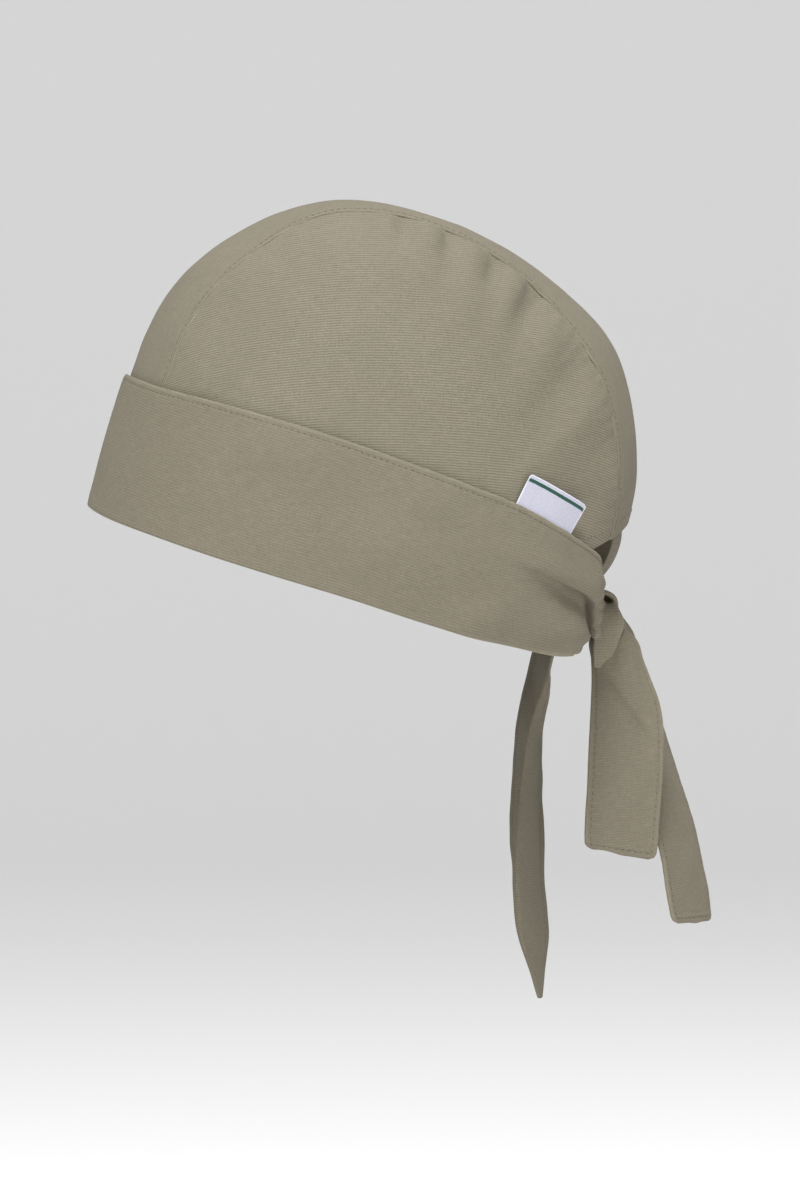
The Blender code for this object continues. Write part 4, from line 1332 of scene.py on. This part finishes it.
def build_tie(sizes, finish, side_name):
    """One flat tie end: a stitched tube of cloth, pressed flat, that hangs from the knot."""
    crown = Crown(sizes)
    left = side_name == "left"
    start = LEFT_TIE_START if left else RIGHT_TIE_START
    path = LEFT_TIE_PATH if left else RIGHT_TIE_PATH
    length = sizes.left_tie_length if left else sizes.right_tie_length
    table = LEFT_TIE_CREASES if left else RIGHT_TIE_CREASES
    middle, along, over = tie_grid(crown, start, path, length, sizes.tie_width, table,
                                   TIE_END_SLANTS[side_name])
    normals = grid_normals(middle)
    if normals[..., 0].sum() < 0.0:
        normals = -normals
    width = sizes.tie_width
    from_edge = (0.5 - np.abs(over)) * width
    from_end = length - along * MM
    edge = np.minimum(from_edge, from_end + 0.2 * MM)
    thick = 0.62 * MM + 0.20 * MM * (1.0 - smooth_step(2.4 * MM, 3.6 * MM, edge))
    thick = thick - 0.16 * MM * dip(edge, TIE_STITCH, FINE_GROOVE_REACH)
    outer, inner = lift(middle, normals, thick), lift(middle, normals, -thick)
    made = cloth_piece("tie_end_" + side_name, outer, inner, cloth("tie", finish),
                       wear=rubbed(edge, 0.8 * MM, 0.4))
    columns = over.shape[1]
    near = nearest(from_edge[0, : columns // 2], TIE_STITCH)
    last = nearest(from_end[:, 0], TIE_STITCH + 0.1 * MM)
    first = nearest(along[:, 0], 9.0)
    loop_rows = np.concatenate((np.arange(first, last), np.full(columns - 2 * near - 1, last),
                                np.arange(last, first, -1)))
    loop_columns = np.concatenate((np.full(last - first, near),
                                   np.arange(near, columns - 1 - near),
                                   np.full(last - first, columns - 1 - near)))
    picked = (loop_rows, loop_columns)
    sewn = stitches("tie_stitches_" + side_name,
                    [(outer[picked], normals[picked]), (inner[picked], -normals[picked])],
                    seam_thread(finish))
    finish_piece(sewn, "tie_cloth")
    finish_piece(made, "tie_cloth", "tie_" + side_name)
    return made


def line_normals(line):
    """Outward normals of a line that runs down the back of the crown."""
    along = np.gradient(line, axis=0)
    along /= np.linalg.norm(along, axis=1, keepdims=True)
    return np.stack([along[:, 0], -along[:, 2], along[:, 1]], axis=-1)


def tail_section(crown, across, folding, crease, width):
    """Side and back offsets across the tail, from flat on the nape to folded lengthwise."""
    across = across * width / 2
    lying = crown.length / 2 * (1.0 - (np.abs(across) / crown.half) ** 2) ** 0.5
    flat = np.stack([across, lying - crown.length / 2], axis=-1)
    inner = np.array(TAIL_INNER_DIRECTION)
    outer = np.array(TAIL_OUTER_DIRECTION)
    away = across - crease * width / 2
    rounding = 0.010 - 0.0065 * folding
    rounded = np.sqrt(away**2 + rounding**2) - rounding
    folded = (inner + outer) / 2 * rounded[:, None] + (outer - inner) / 2 * away[:, None]
    folded = folded - folded.mean(axis=0)
    return flat + (folded - flat) * folding


def build_tail(sizes, finish):
    """The tail: from inside the back hem, behind the knot, and down to its point."""
    crown = Crown(sizes)
    tuck_sweep = crown.hem_sweep(0.0) - TAIL_TUCK / (crown.length / 2)
    sweeps = np.linspace(tuck_sweep, crown.hem_sweep(0.0), 4)
    tucked = crown.points(sweeps, np.zeros_like(sweeps))
    tucked -= line_normals(tucked) * 2.5 * MM
    hung = []
    for back, up, drop, forward in TAIL_PATH:
        held = crown.worn(np.array([0.0, back * crown.length / 2, up * HEM_RISE]))
        hung.append(held - np.array([0.0, forward, drop]) * sizes.tail_drop)
    shares = np.linspace(0.0, 1.0, 190)
    line = along_rows(np.concatenate((crown.worn(tucked), hung)), shares)
    folds = spline([row[0] for row in TAIL_FOLDS], [row[1:] for row in TAIL_FOLDS], shares)
    widest = math.pi / 2 * 0.8
    across = np.sin(np.linspace(-1.0, 1.0, 53) * widest) / math.sin(widest)
    points = []
    for middle, (folding, crease, width) in zip(line, folds):
        section = tail_section(crown, across, min(max(folding, 0.0), 1.0), crease,
                               width * sizes.tail_width)
        spread = np.zeros((len(section), 3))
        spread[:, :2] = section
        points.append(middle + spread)
    middle = np.array(points)
    normals = grid_normals(middle)
    if normals[:30, :, 1].sum() < 0.0:
        normals = -normals
    down, over = grid_lengths(middle)
    wide = folds[:, 2:3] * sizes.tail_width
    from_edge = (1.0 - np.abs(across))[None, :] * wide / 2
    waves = calm_waves(down / MM, across[None, :] * 28.0 + 0.0 * down, 1.9, 0.9)
    edge_wave = 0.45 * MM * np.sin(down / (8.6 * MM) + 1.3 * np.sin(down / (31.0 * MM)))
    edge_wave = edge_wave * np.exp(-from_edge / (7.0 * MM))
    lively = smooth_step(20 * MM, 60 * MM, down) * smooth_step(0.0, 22 * MM, down[-1:] - down)
    middle = lift(middle, normals, (waves + edge_wave) * lively)
    thick = 0.28 * MM + hem_lift(from_edge, TAIL_FOLD, 0.26 * MM)
    thick = thick - 0.10 * MM * dip(from_edge, TAIL_STITCH, FINE_GROOVE_REACH)
    thick = np.minimum(thick, 0.10 * MM + 0.5 * wide / 2)
    outer, inner = lift(middle, normals, thick), lift(middle, normals, -thick)
    # Its cloth is darker than the crown's: painted shade on the tail
    made = cloth_piece("crown_tail", outer, inner, cloth("tail", finish),
                       wear=rubbed(from_edge, 0.9 * MM, 0.25))
    lines = []
    for sign in (-1, 1):
        picked = []
        for row in range(8, len(shares) - 8):
            column = nearest(from_edge[row] + (across * sign < 0.0), TAIL_STITCH)
            picked.append((row, column))
        picked = tuple(np.array(picked).T)
        lines.append((outer[picked], normals[picked]))
        lines.append((inner[picked], -normals[picked]))
    sewn = stitches("tail_hem_stitches", lines, seam_thread(finish), radius=0.13 * MM)
    finish_piece(sewn, "tail_cloth")
    finish_piece(made, "tail_cloth", "tail")
    return made


# Stage


def build_stage(stage):
    """Pale floor, soft studio lights and the camera at the photograph's angle."""
    spokes = 96
    profile = [(4.2 * (ring / 8) ** 2, 0.0) for ring in range(1, 9)]
    for step in range(1, 13):
        turn = math.pi / 2 * step / 12
        profile.append((4.2 + 2.6 * math.sin(turn), 2.6 * (1.0 - math.cos(turn))))
    vertices = [(0.0, 0.0, stage.floor_level)]
    for radius, rise in profile:
        for spoke in range(spokes):
            turn = 2 * math.pi * spoke / spokes
            vertices.append((radius * math.cos(turn), radius * math.sin(turn),
                             stage.floor_level + rise))
    rings = len(profile)
    faces = [(0, 1 + spoke, 1 + (spoke + 1) % spokes) for spoke in range(spokes)]
    faces += [face[::-1] for face in ring_faces(rings - 1, spokes, 1)]
    paint, tree, shader = new_material("floor_paint", 0.0, 0.1)
    shader.inputs["Roughness"].default_value = 0.9
    mottled = node(tree, "ShaderNodeTexNoise", (-500, 0), scale=3.0).outputs["Fac"]
    tint = blend(tree, (-250, 0), mottled, toned((1.0, 1.0, 1.0), 0.96),
                 toned((1.0, 1.0, 1.0), 0.98))
    tree.links.new(tint, shader.inputs["Base Color"])
    new_object("floor", vertices, faces, paint)

    world = bpy.context.scene.world or bpy.data.worlds.new("studio")
    bpy.context.scene.world = world
    world.use_nodes = True
    sky = world.node_tree.nodes["Background"]
    sky.inputs["Color"].default_value = (1.0, 1.0, 1.0, 1.0)
    sky.inputs["Strength"].default_value = 0.54

    target = Vector((0.0, 0.01, 0.0))
    azimuth, elevation = stage.view_azimuth, stage.view_elevation
    back = Vector((math.sin(azimuth) * math.cos(elevation),
                   -math.cos(azimuth) * math.cos(elevation), math.sin(elevation)))
    right = Vector((math.cos(azimuth), math.sin(azimuth), 0.0))
    up = back.cross(right)
    lights = [
        ("key", right * -0.20 + back * 1.45 + up * 2.15, 0.7, 92.0),
        ("low_fill", right * 1.9 + back * 1.6 - up * 0.1, 0.9, 9.0),
        ("rim", right * 0.7 - back * 1.6 + up * 1.8, 1.2, 8.0),
    ]
    for name, place, size, power in lights:
        lamp = bpy.data.lights.new(name + "_softbox", "AREA")
        lamp.shape = "SQUARE"
        lamp.size = size
        lamp.energy = power
        box = bpy.data.objects.new(name + "_softbox", lamp)
        box.location = target + place
        box.rotation_mode = "QUATERNION"
        box.rotation_quaternion = (target - box.location).to_track_quat("-Z", "Y")
        bpy.context.scene.collection.objects.link(box)

    lens = bpy.data.cameras.new("photo_view")
    lens.sensor_width = 36.0
    lens.lens = lens.sensor_width / 2 / (stage.view_height / 2 / stage.view_distance)
    lens.clip_start = 0.05
    lens.clip_end = 50.0
    camera = bpy.data.objects.new("photo_view", lens)
    camera.location = back * stage.view_distance + right * 0.025 + up * -0.010
    camera.rotation_mode = "QUATERNION"
    camera.rotation_quaternion = (-back).to_track_quat("-Z", "Y")
    bpy.context.scene.collection.objects.link(camera)
    bpy.context.scene.camera = camera
    bpy.context.scene.view_settings.view_transform = "Standard"


# Operators and panel


class BANDANA_OT_crown(bpy.types.Operator):
    """Build the centre panel and the two side panels"""

    bl_idname = "bandana.crown"
    bl_label = "Crown panels"

    def execute(self, context):
        sizes, finish = context.scene.bandana_sizes, context.scene.bandana_finish
        build_centre_panel(sizes, finish)
        build_side_panel(sizes, finish, "left")
        build_side_panel(sizes, finish, "right")
        return {"FINISHED"}


class BANDANA_OT_band(bpy.types.Operator):
    """Build the turned-up band"""

    bl_idname = "bandana.band"
    bl_label = "Turned-up band"

    def execute(self, context):
        build_band(context.scene.bandana_sizes, context.scene.bandana_finish)
        return {"FINISHED"}


class BANDANA_OT_label(bpy.types.Operator):
    """Build the woven tab"""

    bl_idname = "bandana.label"
    bl_label = "Woven tab"

    def execute(self, context):
        build_label(context.scene.bandana_sizes, context.scene.bandana_finish)
        return {"FINISHED"}


class BANDANA_OT_knot(bpy.types.Operator):
    """Build the knot at the nape"""

    bl_idname = "bandana.knot"
    bl_label = "Knot"

    def execute(self, context):
        build_knot(context.scene.bandana_sizes, context.scene.bandana_finish)
        return {"FINISHED"}


class BANDANA_OT_ties(bpy.types.Operator):
    """Build the two flat tie ends"""

    bl_idname = "bandana.ties"
    bl_label = "Tie ends"

    def execute(self, context):
        sizes, finish = context.scene.bandana_sizes, context.scene.bandana_finish
        build_tie(sizes, finish, "left")
        build_tie(sizes, finish, "right")
        return {"FINISHED"}


class BANDANA_OT_tail(bpy.types.Operator):
    """Build the hanging tail"""

    bl_idname = "bandana.tail"
    bl_label = "Tail"

    def execute(self, context):
        build_tail(context.scene.bandana_sizes, context.scene.bandana_finish)
        return {"FINISHED"}


class BANDANA_OT_stage(bpy.types.Operator):
    """Set up the floor, the lights and the camera"""

    bl_idname = "bandana.stage"
    bl_label = "Stage"

    def execute(self, context):
        build_stage(context.scene.bandana_stage)
        return {"FINISHED"}


class BANDANA_PT_panel(bpy.types.Panel):
    """Sizes, finishes and pieces of the cap"""

    bl_idname = "BANDANA_PT_panel"
    bl_label = "Chef bandana"
    bl_space_type = "VIEW_3D"
    bl_region_type = "UI"
    bl_category = "Bandana"

    def draw(self, context):
        layout = self.layout
        for group in ("bandana_sizes", "bandana_finish", "bandana_stage"):
            settings = getattr(context.scene, group)
            box = layout.box()
            for name in settings.__annotations__:
                box.prop(settings, name)
        for piece in PIECES:
            layout.operator(piece.bl_idname)


PIECES = (
    BANDANA_OT_crown, BANDANA_OT_band, BANDANA_OT_label, BANDANA_OT_knot, BANDANA_OT_ties,
    BANDANA_OT_tail, BANDANA_OT_stage,
)
CLASSES = (BandanaSizes, BandanaFinish, StageSettings) + PIECES + (BANDANA_PT_panel,)


def register():
    """Adds the panel, its operators and its settings to Blender."""
    for made in CLASSES:
        bpy.utils.register_class(made)
    bpy.types.Scene.bandana_sizes = bpy.props.PointerProperty(type=BandanaSizes)
    bpy.types.Scene.bandana_finish = bpy.props.PointerProperty(type=BandanaFinish)
    bpy.types.Scene.bandana_stage = bpy.props.PointerProperty(type=StageSettings)


def unregister():
    """Takes them out again."""
    del bpy.types.Scene.bandana_stage
    del bpy.types.Scene.bandana_finish
    del bpy.types.Scene.bandana_sizes
    for made in reversed(CLASSES):
        bpy.utils.unregister_class(made)


def main():
    """Builds every piece and the stage."""
    register()
    bpy.ops.bandana.crown()
    bpy.ops.bandana.band()
    bpy.ops.bandana.label()
    bpy.ops.bandana.knot()
    bpy.ops.bandana.ties()
    bpy.ops.bandana.tail()
    bpy.ops.bandana.stage()


if __name__ == "__main__":
    main()
